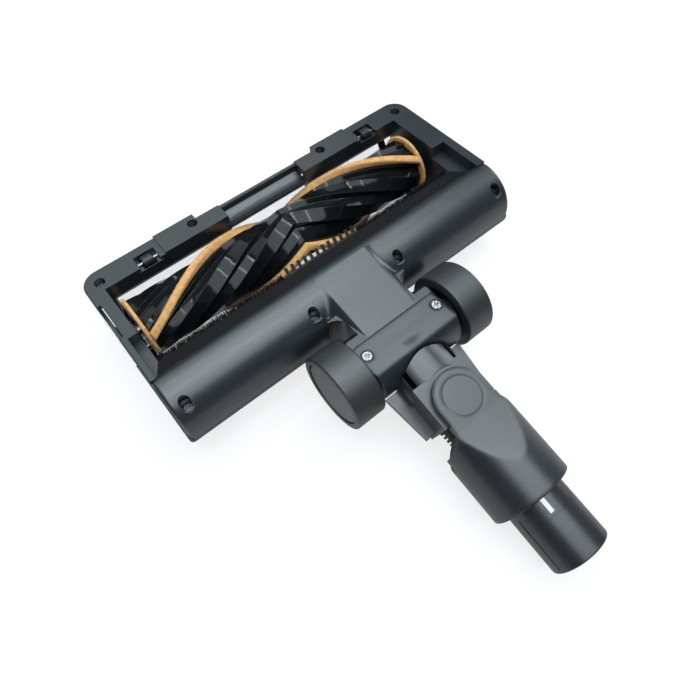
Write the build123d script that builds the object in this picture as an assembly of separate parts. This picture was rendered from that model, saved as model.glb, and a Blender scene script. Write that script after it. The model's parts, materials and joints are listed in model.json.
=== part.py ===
from build123d import *
from math import acos, atan2, cos, degrees, hypot, radians, sin
import os

os.makedirs("parts", exist_ok=True)

# Motorized vacuum brush head, lying on its back with the sole up, as it rests on a table
# Every piece is drawn in the head's own frame: X along the brush, Y to the front edge,
# Z out of the sole, with the sole plane at Z = 0
# The placement at the end tilts the whole head until dome and neck touch the table

# Overall sizes of the head
HALF = 125.0
FRONT_Y = 10.0
CORNER_RADIUS = 11.0
WALL = 2.2
PLATE = 3.0
SEAT = 0.05
MOVE_GAP = 0.4
PIN_PLAY = 0.08

# Brush window and brush chamber
LEFT_X = -(HALF - 10.0)
RIGHT_X = HALF - 17.0
WINDOW_FRONT_Y = -6.5
FRONT_WALL_LOW = -13.0
PAD_IN = 29.7
PAD_OUT = 74.5
PAD_STEP = 46.5
PAD_RISE = 1.0
PAD_BACK_Y = 5.6
RECESS_LEFT = -(HALF - 4.0)
RECESS_RIGHT = HALF - 7.0
RECESS_FRONT_Y = -45.5
CHANNEL_Z = -8.0
LIP_Y = -63.0
MOUTH_HALF = 27.0
NOTCH_REAR_Y = -42.5
NOTCH_FRONT_Y = -15.2

# Half-barrel behind the brush
BARREL_Y = -80.0
BARREL_Z = -25.0
BARREL_R = 24.5
REAR_Y = BARREL_Y - BARREL_R
SEAM_FRONT_Z = -10.0
SEAM_SIDE_Z = -26.0
SEAM_REAR_Z = -29.0
SHOULDER_R = 7.5

# Brush roll
ROLL_Y = -27.0
ROLL_Z = -21.5
ROLL_X0 = LEFT_X + 3.0
ROLL_X1 = RIGHT_X - 5.0
CORE_R = 17.6
GROOVE_R = 14.6
PLUSH_R = 22.5
PLUSH_GAP = 0.9
RING_R = 20.4
RING_WIDTH = 2.6
TWIST_PER_MM = 1.52
STRIP_PHASE = -16.0
STRIP_WIDTH = 5.0
SHAFT_R = 3.0

# Dome over the brush, on the other side of the sole
COVER_HALF = HALF + 1.2
DOME_R = 28.5
TAIL_Y = -96.3
TAIL_Z = -30.0
TAIL_R = 8.2
NOSE_Y = 7.0
NOSE_Z = -12.0
NOSE_R = 3.0
SPLIT_Y = -46.0

# Wheels, axle block and bridge
AXLE_Y = -134.3
AXLE_Z = -23.7
WHEEL_R = 24.0
TYRE_IN_R = 21.4
HUB_CAP_R = 19.4
BLOCK_R = 20.0
BLOCK_HALF = 30.5
WHEEL_IN = BLOCK_HALF + 1.8
WHEEL_OUT = WHEEL_IN + 19.5
BRIDGE_Z = -8.5
BRIDGE_HALF = 21.0
BRIDGE_LOW_Z = -40.0
BRIDGE_FLARE_R = 8.0
CAP_FRONT_Y = -126.4
CAP_SCREW = (BLOCK_HALF - 4.5, AXLE_Y - 0.6)
AXLE_R = 3.0

# Neck: stations along its axis from the wheel axle, and heights above that axis
NECK_PITCH = 13.5
HUB_R = 13.2
HUB_HALF = 18.4
TRUNNION_R = 6.0
TRUNNION_END = BLOCK_HALF - 5.5
BARREL_HALF = 20.4
BARREL_HIGH = 15.5
KNUCKLE_S = 45.4
ELBOW_END_S = 54.0
ELBOW_HALF = 18.7
ELBOW_FLAT = 13.8
EAR_R = 16.2
EAR_IN = 14.2
EAR_TOP = 17.9
BOSS_R = 10.85
PIVOT_R = 5.0
LOW_EAR_R = 12.0
LOW_LINK_HALF = 8.0
LOW_EAR_OUT = 16.7
SLEEVE_R = 24.8
SLEEVE_WALL = 2.4
MOUTH_R = 22.0
LOW_MOUTH_R = 30.0
SLEEVE_END_S = 109.4
RAMP_END_S = 88.0
HOOD_START_S = 20.5
HOOD_START_R = 28.7
HOOD_END_S = 52.4
HOOD_END_R = 25.3
HOOD_WALL = 1.9
HOOD_EDGE_H = -1.5
TUBE_R = 17.8
TUBE_STEP = 0.2
TUBE_WALL = 2.0
TUBE_START_S = 80.0
TUBE_END_S = 147.0
HOSE_R = 13.2

# Drive
MOTOR_R = 15.2
MOTOR_Y = -84.5
MOTOR_Z = -22.5
MOTOR_X1 = RIGHT_X - 12.0
MOTOR_X0 = MOUTH_HALF + 15.0
MOTOR_PULLEY_R = 5.5
ROLL_PULLEY_R = 10.0
BELT_X0 = RIGHT_X + 4.4
BELT_WIDTH = 6.0
BELT_THICK = 1.4
LEAD_Y = (-76.0, -79.0)
LEAD_Z = -30.4
LEAD_R = 0.9

# Screws
SCREW_R = 1.5
SCREW_HEAD_R = 2.8
SCREW_HEAD_H = 1.8
SCREW_LENGTH = 11.0
WELL_R = 3.3
SCREW_BOSS_R = 2.9
FRONT_SEAT = -5.4
BARREL_SEAT = -15.0
CAP_SEAT = -10.4
CAP_SCREW_LENGTH = 6.0
CAP_THICK = 3.0
CORNER_SCREW = (HALF - 9.8, 0.0)
PAD_SCREW = (50.2, 3.0)
BARREL_SCREW_X = (HALF - 8.4, BLOCK_HALF + 1.3)
BARREL_SCREW_Y = -95.4

# Front rollers
CASTER_X = HALF - 39.8
CASTER_Y = -1.6
CASTER_Z = -2.6
CASTER_R = 4.0
CASTER_HALF = 3.6
CASTER_PIN_R = 1.2


def box(x0, x1, y0, y1, z0, z1):
    """Box from its limits along the three axes."""
    middle = Pos((x0 + x1) / 2, (y0 + y1) / 2, (z0 + z1) / 2)
    return middle * Box(x1 - x0, y1 - y0, z1 - z0)


def rod(y, z, r, x0, x1):
    """Round bar along X."""
    return Pos((x0 + x1) / 2, y, z) * Rot(0, 90, 0) * Cylinder(r, x1 - x0)


def post(x, y, r, z0, z1):
    """Round bar along Z."""
    return Pos(x, y, (z0 + z1) / 2) * Cylinder(r, z1 - z0)


def slab(face, x0, x1):
    """Extrude a Y-Z section along X."""
    return Pos(x0, 0, 0) * extrude(Plane.YZ * face, x1 - x0)


def polygon(*points):
    """Closed flat section from its corners."""
    return make_face(Polyline(*points, close=True))


def disc(y, z, r):
    """Round flat section."""
    return Pos(y, z) * Circle(r)


def both(shape):
    """One solid made of a shape and its mirror image across the middle."""
    return shape + mirror(shape, Plane.YZ)


def pair(shape):
    """A piece and its mirror image, as separate solids."""
    return Compound([*shape.solids(), *mirror(shape, Plane.YZ).solids()])


def group(*shapes):
    """Several separate solids under one name."""
    return Compound([solid for shape in shapes for solid in shape.solids()])


def hull_section(shrink):
    """Outline of dome, slope and tail: the hull round three circles."""
    circles = (
        disc(ROLL_Y, ROLL_Z, DOME_R - shrink),
        disc(TAIL_Y, TAIL_Z, TAIL_R - shrink),
        disc(NOSE_Y, NOSE_Z, NOSE_R - shrink),
    )
    return make_hull([edge for circle in circles for edge in circle.edges()])


def barrel_section(shrink):
    """Half-barrel with its rounded front shoulder."""
    r = BARREL_R - shrink
    shoulder = SHOULDER_R - shrink
    low = BARREL_Z - 20
    top = BARREL_Z + r
    return make_face([
        Line((BARREL_Y - r, low), (BARREL_Y - r, BARREL_Z)),
        CenterArc((BARREL_Y, BARREL_Z), r, 90, 90),
        CenterArc((BARREL_Y, top - shoulder), shoulder, 0, 90),
        Line((BARREL_Y + shoulder, top - shoulder), (BARREL_Y + shoulder, low)),
        Line((BARREL_Y + shoulder, low), (BARREL_Y - r, low)),
    ])


def above_seam(gap):
    """Section above the seam line between the sole and the cover."""
    line = [(FRONT_Y + 5, SEAM_FRONT_Z), (-15, SEAM_FRONT_Z), (-50, SEAM_SIDE_Z)]
    line += [(REAR_Y, SEAM_REAR_Z), (REAR_Y - 60, SEAM_REAR_Z)]
    lowered = [(y, z - gap) for y, z in line]
    return polygon(*lowered, (REAR_Y - 60, 20), (FRONT_Y + 5, 20))


def rounded_ends(solid, radius):
    """Round the outline edges at both ends of a bar along X."""
    ends = solid.edges().group_by(Axis.X)
    return fillet(ends[0] + ends[-1], radius)


def neck(shape):
    """Place a neck piece, drawn along -Y from the axle, at the rest pitch."""
    return Pos(0, AXLE_Y, AXLE_Z) * Rot(NECK_PITCH, 0, 0) * shape


def along(x, h, r, s0, s1):
    """Round bar along the neck."""
    return Pos(x, -(s0 + s1) / 2, h) * Rot(90, 0, 0) * Cylinder(r, s1 - s0)


def span(x0, x1, s0, s1, h0, h1):
    """Box in neck stations."""
    return box(x0, x1, -s1, -s0, h0, h1)


def well(x, y, seat):
    """Deep screw well with its clearance hole."""
    return post(x, y, WELL_R, seat, 6) + post(x, y, SCREW_R + 0.2, seat - 8, seat + 1)


def screw(x, y, seat, length):
    """Cross-head screw, its head on the seat and its shank below."""
    body = post(x, y, SCREW_HEAD_R, seat, seat + SCREW_HEAD_H)
    body += post(x, y, SCREW_R, seat - length, seat + 0.5)
    cross = box(x - 1.7, x + 1.7, y - 0.4, y + 0.4, seat + 0.9, seat + 3)
    cross += box(x - 0.4, x + 0.4, y - 1.7, y + 1.7, seat + 0.9, seat + 3)
    return body - cross


inner_barrel = slab(barrel_section(WALL), -HALF + WALL, HALF - WALL)
screw_places = [(CORNER_SCREW, FRONT_SEAT), (PAD_SCREW, FRONT_SEAT)]
screw_places += [((x, BARREL_SCREW_Y), BARREL_SEAT) for x in BARREL_SCREW_X]

# Sole housing: outer form
depth = FRONT_Y - BARREL_Y
plan = Pos(0, FRONT_Y - depth / 2) * Rectangle(2 * HALF, depth)
plan = fillet(plan.vertices().group_by(Axis.Y)[-1], CORNER_RADIUS)
plan_inside = Pos(0, FRONT_Y - WALL - depth / 2) * Rectangle(2 * HALF - 2 * WALL, depth)
plan_inside = fillet(plan_inside.vertices().group_by(Axis.Y)[-1], CORNER_RADIUS - WALL)
frame = extrude(plan, -40)
frame = fillet(frame.edges().group_by(Axis.Z)[-1], 1.0)
frame -= Pos(0, 0, -PLATE) * extrude(plan_inside, -40)
barrel = rounded_ends(slab(barrel_section(0), -HALF, HALF), 2.5)
barrel -= inner_barrel
barrel -= box(-HALF + WALL, HALF - WALL, BARREL_Y, FRONT_Y, -60, CHANNEL_Z - WALL)
frame -= slab(barrel_section(0), -HALF + 1, HALF - 1)
frame -= box(-HALF - 1, HALF + 1, BARREL_Y - 1, BARREL_Y + 3, -60, 5)
sole = (frame + barrel) & slab(above_seam(0), -HALF, HALF)

# Sole housing: brush window, side recesses, channel and chamber walls
pads = both(box(PAD_IN, PAD_OUT, WINDOW_FRONT_Y, FRONT_Y, -PLATE, PAD_RISE))
sole += pads
sole -= box(-PAD_STEP, PAD_STEP, PAD_BACK_Y, FRONT_Y + 1, -20, 5)
sole -= box(LEFT_X, RIGHT_X, RECESS_FRONT_Y - 1, WINDOW_FRONT_Y, -9, 5)
rear_window = box(RECESS_LEFT, RECESS_RIGHT, BARREL_Y - 5, RECESS_FRONT_Y, CHANNEL_Z, 5)
rear_window -= slab(barrel_section(0), -HALF, HALF)
sole -= rear_window
sole -= box(-HALF - 1, -HALF + 2.9, NOTCH_REAR_Y, NOTCH_FRONT_Y, -7.5, 5)
tub_low = CHANNEL_Z - WALL
tub = box(RECESS_LEFT - WALL, RECESS_RIGHT + WALL, BARREL_Y + 6, RECESS_FRONT_Y + WALL, tub_low, -1)
tub -= box(RECESS_LEFT, RECESS_RIGHT, BARREL_Y - 5, RECESS_FRONT_Y, CHANNEL_Z, 5)
cheek = disc(ROLL_Y, ROLL_Z, DOME_R - WALL - 0.3)
cheek += polygon((-3, -1), (-3, ROLL_Z), (LIP_Y, ROLL_Z), (LIP_Y, -1))
cheek &= polygon((-3.8, -1), (-3.8, -80), (LIP_Y, -80), (LIP_Y, -1))
left_cheek = slab(cheek, LEFT_X - 2.4, LEFT_X) - rod(ROLL_Y, ROLL_Z, 9.6, LEFT_X - 3, LEFT_X + 1)
right_cheek = slab(cheek, RIGHT_X, RIGHT_X + 2.4) - rod(ROLL_Y, ROLL_Z, 7.05, RIGHT_X - 1, RIGHT_X + 3)
cheeks = left_cheek + right_cheek
cheeks -= box(-HALF, HALF, -100, RECESS_FRONT_Y, CHANNEL_Z, 10)
tub -= box(LEFT_X, RIGHT_X, LIP_Y, 20, -60, 5)
sole += tub + cheeks
sole += box(LEFT_X - 1, RIGHT_X + 1, WINDOW_FRONT_Y, -3.6, FRONT_WALL_LOW, -PLATE + 0.5)
sole += box(LEFT_X - 1, RIGHT_X + 1, LIP_Y - 2, LIP_Y, -34, CHANNEL_Z)
sole -= rod(ROLL_Y, ROLL_Z, PLUSH_R + PLUSH_GAP, LEFT_X, RIGHT_X)

# Sole housing: debris slot between the pads
tray = polygon(
    (PAD_BACK_Y, SEAM_FRONT_Z), (PAD_BACK_Y, 0), (PAD_BACK_Y - WALL, 0), (PAD_BACK_Y - WALL, -4),
    (-9, -4), (-9, SEAM_FRONT_Z),
)
tray_wall = polygon(
    (PAD_BACK_Y, 0), (PAD_BACK_Y, -20), (PAD_BACK_Y - WALL, -20), (PAD_BACK_Y - WALL, 0),
)
tray -= disc(-3.1, 2.9, 9.9) - tray_wall
sole -= box(-PAD_IN, PAD_IN, -30, FRONT_Y + 1, -60, 5)
sole += slab(tray, -PAD_IN - 1, PAD_IN + 1) - rod(ROLL_Y, ROLL_Z, PLUSH_R + PLUSH_GAP, -60, 60)
sole += both(box(PAD_IN - 0.5, PAD_STEP + 1, PAD_BACK_Y - WALL, PAD_BACK_Y, SEAM_FRONT_Z, 0))
sole += both(box(PAD_STEP, PAD_STEP + WALL, PAD_BACK_Y - WALL, FRONT_Y - 0.5, -6.9, -1))

# Sole housing: duct walls, bridge and axle block
duct_wall = barrel_section(WALL - 0.5) & above_seam(0)
duct_wall += polygon(
    (BARREL_Y + 1, CHANNEL_Z - 1), (LIP_Y - 1, CHANNEL_Z - 1), (LIP_Y - 1, -30), (BARREL_Y + 1, -30),
)
duct_wall &= above_seam(0)
sole += both(slab(duct_wall, MOUTH_HALF + 0.6, MOUTH_HALF + 2.4))
sole -= box(-MOUTH_HALF, MOUTH_HALF, LIP_Y - 6, LIP_Y + 1, -33, -13)
block = slab(disc(AXLE_Y, AXLE_Z, BLOCK_R), -BLOCK_HALF, BLOCK_HALF)
block = fillet(block.edges(), 1.5)
block &= box(-60, 60, -170, -100, -60, BRIDGE_Z)
hub_room = rod(AXLE_Y, AXLE_Z, HUB_R + MOVE_GAP, -HUB_HALF - MOVE_GAP, HUB_HALF + MOVE_GAP)
flare_out = BRIDGE_HALF + BRIDGE_FLARE_R
flare = box(BRIDGE_HALF - 1, flare_out, REAR_Y - BRIDGE_FLARE_R, REAR_Y + 1, BRIDGE_LOW_Z, BRIDGE_Z)
flare -= post(flare_out, REAR_Y - BRIDGE_FLARE_R, BRIDGE_FLARE_R, -70, 10)
bridge = box(-BRIDGE_HALF, BRIDGE_HALF, AXLE_Y, REAR_Y + 8, BRIDGE_LOW_Z, BRIDGE_Z) + both(flare)
inner_half = BRIDGE_HALF - WALL
bridge_room = box(-inner_half, inner_half, AXLE_Y - 5, REAR_Y - 1, BRIDGE_LOW_Z + WALL, BRIDGE_Z - WALL)
hollow_bridge = bridge - bridge_room
head_side = box(-60, 60, CAP_FRONT_Y, REAR_Y + 8, SEAM_REAR_Z, 5)
sole += hollow_bridge & head_side & slab(above_seam(0), -60, 60)
sole += block & box(-60, 60, CAP_FRONT_Y, -90, AXLE_Z, 5)
cap_inside = box(-60, 60, -170, CAP_FRONT_Y + 1, -60, CAP_SEAT - 2.0)
cap_inside &= rod(AXLE_Y, AXLE_Z, BLOCK_R - CAP_THICK, -BLOCK_HALF - 1, BLOCK_HALF + 1)
arch_half = BARREL_HALF + MOVE_GAP
arch_oval = Ellipse(arch_half, BARREL_HIGH + MOVE_GAP)
arch = Pos(0, -15, 0) * Rot(90, 0, 0) * extrude(arch_oval, 40, both=True)
arch += span(-BARREL_HALF - MOVE_GAP, BARREL_HALF + MOVE_GAP, 5, 50, -40, 0)
arch -= span(-40, 40, -60, 4, -60, 60)
arch = neck(arch)
pilot = SCREW_R + SEAT
seats = box(-60, 60, -170, CAP_FRONT_Y + 1, AXLE_Z, CAP_SEAT - 2.0 - SEAT)
seats &= rod(AXLE_Y, AXLE_Z, BLOCK_R - CAP_THICK - SEAT, -BLOCK_HALF, BLOCK_HALF)
sole += seats - arch
sole -= both(post(*CAP_SCREW, pilot, CAP_SEAT - CAP_SCREW_LENGTH - 0.6, CAP_SEAT - 1))
sole -= box(-17, 17, REAR_Y - 6, REAR_Y + 5, -27, -14)
axle_bores = both(rod(AXLE_Y, AXLE_Z, TRUNNION_R + PIN_PLAY, HUB_HALF, TRUNNION_END + 0.3))
axle_bores += both(rod(AXLE_Y, AXLE_Z, AXLE_R + SEAT, TRUNNION_END, 40))
for (x, y), seat in screw_places:
    sole += both(post(x, y, WELL_R + 1.3, seat - 1.6, -2.5 if seat == FRONT_SEAT else -9))
for (x, y), seat in screw_places:
    sole -= both(well(x, y, seat) + post(x, y, SCREW_BOSS_R + 0.2, -60, seat - 1.6))

# Sole housing: saddles of the two front rollers
pocket = box(CASTER_X - 6.8, CASTER_X + 6.8, CASTER_Y - 4.9, CASTER_Y + 4.9, -7.6, 2)
bed = box(CASTER_X - 8, CASTER_X + 8, CASTER_Y - 5.4, CASTER_Y + 6, -9.2, -PLATE + 0.5)
saddle = box(CASTER_X + 4.6, CASTER_X + 6.8, CASTER_Y - 4.9, CASTER_Y + 4.9, -8, CASTER_Z - 0.4)
saddle += box(CASTER_X - 6.8, CASTER_X - 4.6, CASTER_Y - 4.9, CASTER_Y + 4.9, -8, CASTER_Z - 0.4)
saddle -= rod(CASTER_Y, CASTER_Z, CASTER_PIN_R + 0.02, CASTER_X - 9, CASTER_X + 9)
sole += both(bed)
sole -= both(pocket)
sole += both(saddle)
sole -= rod(ROLL_Y, ROLL_Z, PLUSH_R + PLUSH_GAP, LEFT_X, RIGHT_X)
sole -= hub_room + axle_bores

# Axle cap over the pivot of the neck, with the arch that the neck leaves through
cap = block & box(-60, 60, -170, CAP_FRONT_Y - SEAT, AXLE_Z + SEAT, 5)
cap -= cap_inside + hub_room + arch
cap -= both(well(*CAP_SCREW, CAP_SEAT))

# Top cover and clear window: the skin on the other side
def cover_plan(shrink):
    """Outline of the cover from above, with rounded front corners."""
    length = FRONT_Y - REAR_Y + 20
    outline = Pos(0, FRONT_Y - shrink - length / 2) * Rectangle(2 * (COVER_HALF - shrink), length)
    outline = fillet(outline.vertices().group_by(Axis.Y)[-1], CORNER_RADIUS + 1 - shrink)
    return extrude(outline, -70)


skin = rounded_ends(slab(hull_section(0), -COVER_HALF, COVER_HALF), 2.4) & cover_plan(0)
cover_room = slab(hull_section(WALL), -COVER_HALF + WALL, COVER_HALF - WALL) & cover_plan(WALL)
skin -= cover_room
skin -= slab(above_seam(SEAT), -COVER_HALF - 1, COVER_HALF + 1)
reach = COVER_HALF + 20
window = skin & box(-reach, reach, SPLIT_Y, 60, -90, 5)
cover = skin & box(-reach, reach, -130, SPLIT_Y - SEAT, -90, 5)
cover_wall = slab(hull_section(WALL - 0.5), MOUTH_HALF + 0.6, MOUTH_HALF + 2.4)
cover_wall &= box(0, 60, REAR_Y + WALL, LIP_Y - 2.1, -60, SEAM_REAR_Z - SEAT)
for y in LEAD_Y:
    cover_wall -= rod(y, LEAD_Z, LEAD_R + 0.3, 20, 35)
cover += both(cover_wall)
lower = box(-60, 60, -170, REAR_Y + 8, -60, SEAM_REAR_Z - SEAT)
cover_bridge = hollow_bridge & lower & box(-60, 60, -126, REAR_Y + 8, -60, 5)
cover_bridge -= cover_room
cover += cover_bridge
fork = both(slab(disc(AXLE_Y, AXLE_Z, BLOCK_R), BARREL_HALF + MOVE_GAP, BLOCK_HALF))
fork &= block & box(-60, 60, -170, -100, -60, AXLE_Z - SEAT)
fork -= box(-BRIDGE_HALF - SEAT, BRIDGE_HALF + SEAT, CAP_FRONT_Y - SEAT, -90, SEAM_REAR_Z - SEAT, 0)
web = both(box(BARREL_HALF - 1.6, BRIDGE_HALF + 5, -126, -112, BRIDGE_LOW_Z, SEAM_REAR_Z - SEAT))
web_room = rod(AXLE_Y, AXLE_Z, HUB_R + 2.5, -HUB_HALF - 6, HUB_HALF + 6)
web -= web_room & box(-arch_half, arch_half, -200, 0, -90, 0)
cover += fork + web
cover -= box(-BARREL_HALF - MOVE_GAP, BARREL_HALF + MOVE_GAP, -170, -117.5, -90, 0)
cover -= axle_bores
for (x, y), seat in screw_places:
    boss = post(x, y, SCREW_BOSS_R, -60, seat - 1.65) - post(x, y, pilot, seat - SCREW_LENGTH - 0.6, 0)
    boss = both(boss) & slab(hull_section(WALL - 0.4), -COVER_HALF + 1, COVER_HALF - 1)
    if seat == FRONT_SEAT:
        window += boss
    else:
        cover += boss
cradle = slab(hull_section(WALL - 0.5), MOTOR_X0 + 8, MOTOR_X0 + 11)
cradle += slab(hull_section(WALL - 0.5), MOTOR_X1 - 12, MOTOR_X1 - 9)
cradle &= box(0, RIGHT_X, -99, -68, -60, MOTOR_Z - 6)
cradle -= rod(MOTOR_Y, MOTOR_Z, MOTOR_R + SEAT, MOTOR_X0 - 2, MOTOR_X1 + 4)
cover += cradle
board_posts = slab(hull_section(WALL - 0.5), -98, -95) + slab(hull_section(WALL - 0.5), -53, -50)
board_posts &= box(-110, 0, -97, -66, -60, -33)
cover += board_posts

# Suction side: bristle strips and the comb of the mouth
bristles = []
tuft = polygon(
    (LIP_Y + SEAT, -13.5), (LIP_Y + SEAT, -9.0), (LIP_Y + 3.2, -5.8), (LIP_Y + 3.8, -6.4),
    (LIP_Y + 1.6, -11), (LIP_Y + 1.6, -13.5),
)
for x0, x1 in ((LEFT_X + 0.5, -MOUTH_HALF - 1), (MOUTH_HALF + 1, RIGHT_X - 0.5)):
    bristles.append(slab(tuft, x0, x1))
comb_bar = box(-MOUTH_HALF, MOUTH_HALF, LIP_Y + SEAT, LIP_Y + 1.7, -12.9, -8.2)
tooth = polygon((LIP_Y + 0.5, -10.2), (LIP_Y + 0.5, -8.2), (LIP_Y + 3.4, -5.0), (LIP_Y + 4.6, -5.6))
comb = comb_bar
for step in range(12):
    x = -25.3 + 4.6 * step
    comb += slab(tooth, x - 0.9, x + 0.9)

# Drive: motor, bracket, rotor, belt and pulleys
motor = rod(MOTOR_Y, MOTOR_Z, MOTOR_R, MOTOR_X0, MOTOR_X1)
motor = chamfer(motor.edges().group_by(Axis.X)[0] + motor.edges().group_by(Axis.X)[-1], 1.2)
motor += rod(MOTOR_Y, MOTOR_Z, 7.5, MOTOR_X0 - 3, MOTOR_X0)
motor -= rod(MOTOR_Y, MOTOR_Z, 1.6 + PIN_PLAY, MOTOR_X0 + 20, MOTOR_X1 + 1)
for offset in (-8, 8):
    motor -= rod(MOTOR_Y + offset, MOTOR_Z, pilot, MOTOR_X1 - 6, MOTOR_X1 + 1)
bracket_face = (barrel_section(WALL + 0.3) & above_seam(0)) + hull_section(WALL + 0.3)
bracket_face &= polygon((-100, -5), (-66, -12), (-66, -48), (-100, -48))
bracket = slab(bracket_face, MOTOR_X1, MOTOR_X1 + 2.4)
bracket -= rod(MOTOR_Y, MOTOR_Z, 4.0, MOTOR_X1 - 1, MOTOR_X1 + 4)
motor_screws = []
for offset in (-8, 8):
    bracket -= rod(MOTOR_Y + offset, MOTOR_Z, SCREW_R + 0.2, MOTOR_X1 - 1, MOTOR_X1 + 4)
    head = rod(MOTOR_Y + offset, MOTOR_Z, 2.6, MOTOR_X1 + 2.4, MOTOR_X1 + 3.9)
    head += rod(MOTOR_Y + offset, MOTOR_Z, SCREW_R, MOTOR_X1 - 4.5, MOTOR_X1 + 3)
    motor_screws.append(head)
motor_shaft = rod(MOTOR_Y, MOTOR_Z, 1.6, MOTOR_X0 + 20.5, BELT_X0 + BELT_WIDTH + 1.4)
motor_pulley = rod(MOTOR_Y, MOTOR_Z, MOTOR_PULLEY_R, BELT_X0 - 0.6, BELT_X0 + BELT_WIDTH + 0.6)
motor_pulley -= rod(MOTOR_Y, MOTOR_Z, 1.6, BELT_X0 - 5, HALF)
belt_play = 0.3


def belt_loop(offset):
    """Outline round both pulleys, at a distance from them."""
    small = disc(MOTOR_Y, MOTOR_Z, MOTOR_PULLEY_R + offset)
    large = disc(ROLL_Y, ROLL_Z, ROLL_PULLEY_R + offset)
    return make_hull(small.edges() + large.edges())


belt_face_loop = belt_loop(belt_play + BELT_THICK) - belt_loop(belt_play)
belt = slab(belt_face_loop, BELT_X0, BELT_X0 + BELT_WIDTH)
roll_pulley = rod(ROLL_Y, ROLL_Z, ROLL_PULLEY_R, BELT_X0 - 0.6, BELT_X0 + BELT_WIDTH + 0.6)
roll_pulley -= rod(ROLL_Y, ROLL_Z, SHAFT_R, BELT_X0 - 5, HALF)
belt_face = hull_section(WALL + 0.4) + (barrel_section(WALL + 0.4) & above_seam(0))
belt_face -= polygon((20, 5), (20, CHANNEL_Z - WALL - 0.3), (-90, CHANNEL_Z - WALL - 0.3), (-90, 5))
belt_face &= polygon((2, 0), (2, -60), (-88, -60), (-88, 0))
belt_cover = slab(belt_face, BELT_X0 + BELT_WIDTH + 2.4, BELT_X0 + BELT_WIDTH + 3.8)
belt_cover -= rod(ROLL_Y, ROLL_Z, SHAFT_R + 1, BELT_X0, HALF)

# Control board and its leads
board = box(-98, -50, -96, -68, -33, -31.4)
for x, w in ((-90, 9), (-72, 12), (-58, 6)):
    board += box(x - w / 2, x + w / 2, -88, -78, -31.5, -27)
leads = [rod(y, LEAD_Z, LEAD_R, -54, MOTOR_X0 - 0.1) for y in LEAD_Y]

# Brush roll
end_plug = rod(ROLL_Y, ROLL_Z, 9.5, LEFT_X - 7.8, LEFT_X + 1.2)
end_plug -= rod(ROLL_Y, ROLL_Z, 6.55, LEFT_X - 4.2, LEFT_X + 2)
end_plug = chamfer(end_plug.edges().group_by(Axis.X)[0], 1.0)
end_bearing = rod(ROLL_Y, ROLL_Z, 6.5, LEFT_X - 4.2, LEFT_X + 0.2)
end_bearing -= rod(ROLL_Y, ROLL_Z, SHAFT_R + PIN_PLAY, LEFT_X - 5, LEFT_X + 3)
pulley_bearing = rod(ROLL_Y, ROLL_Z, 7.0, RIGHT_X - 0.8, RIGHT_X + 2.6)
pulley_bearing -= rod(ROLL_Y, ROLL_Z, SHAFT_R + PIN_PLAY, RIGHT_X - 3, RIGHT_X + 4)
roll_shaft = rod(ROLL_Y, ROLL_Z, SHAFT_R, LEFT_X - 4.0, BELT_X0 + BELT_WIDTH + 1.8)
drive_dog = rod(ROLL_Y, ROLL_Z, 11.0, ROLL_X1, RIGHT_X - 1.2)
drive_dog -= rod(ROLL_Y, ROLL_Z, SHAFT_R, ROLL_X1 - 5, RIGHT_X)


def half_roll(section, x_end):
    """Section that follows the V helix from mid length to one end."""
    length = abs(x_end)
    half = Solid.extrude_linear_with_rotation(section, (0, 0, 0), (0, 0, length), TWIST_PER_MM * length)
    base = Plane((0, ROLL_Y, ROLL_Z), x_dir=(0, 1, 0), z_dir=(1, 0, 0))
    placed = base.location * half
    return placed if x_end > 0 else mirror(placed, Plane.YZ)


def wheel_of_points(places):
    """Closed outline through (angle, radius) places, repeated after half a turn."""
    corners = []
    for half_turn in (0, 180):
        for angle, radius in places:
            turn = radians(STRIP_PHASE + half_turn + angle)
            corners.append((radius * cos(turn), radius * sin(turn)))
    return Polyline(*corners, close=True)


flanks = (
    (-12, CORE_R + 0.4), (12, CORE_R + 0.4), (19, GROOVE_R), (38, CORE_R), (68, CORE_R + 0.8),
    (76, GROOVE_R + 0.8), (98, CORE_R + 0.4), (128, CORE_R), (136, GROOVE_R), (158, CORE_R - 0.8),
)
core_outline = Wire(wheel_of_points(flanks).edges())
core = half_roll(core_outline, ROLL_X1 - RING_WIDTH - SEAT)
core += half_roll(core_outline, ROLL_X0 + RING_WIDTH + SEAT)
core += rod(ROLL_Y, ROLL_Z, GROOVE_R, ROLL_X0, ROLL_X1)
core -= rod(ROLL_Y, ROLL_Z, SHAFT_R, ROLL_X0 - 5, ROLL_X1 + 5)
ring_bars = rod(ROLL_Y, ROLL_Z, RING_R, ROLL_X0, ROLL_X0 + RING_WIDTH)
ring_bars += rod(ROLL_Y, ROLL_Z, RING_R, ROLL_X1 - RING_WIDTH, ROLL_X1)
end_rings = ring_bars - rod(ROLL_Y, ROLL_Z, GROOVE_R, ROLL_X0 - 5, ROLL_X1 + 5)
strips = []
land = (CORE_R + 0.4) * cos(radians(12)) + SEAT
for half_turn in (0, 180):
    blade = Pos((land + PLUSH_R) / 2, 0) * Rectangle(PLUSH_R - land, STRIP_WIDTH)
    blade_wire = (Rot(0, 0, STRIP_PHASE + half_turn) * blade).wire()
    right = half_roll(blade_wire, ROLL_X1 - RING_WIDTH - 0.1)
    left = half_roll(blade_wire, ROLL_X0 + RING_WIDTH + 0.1)
    strips.append(right + left)

# Screws of the housing
housing_screws = []
for (x, y), seat in screw_places:
    housing_screws.append(pair(screw(x, y, seat, SCREW_LENGTH)))
cap_screws = pair(screw(*CAP_SCREW, CAP_SEAT, CAP_SCREW_LENGTH))

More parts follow.
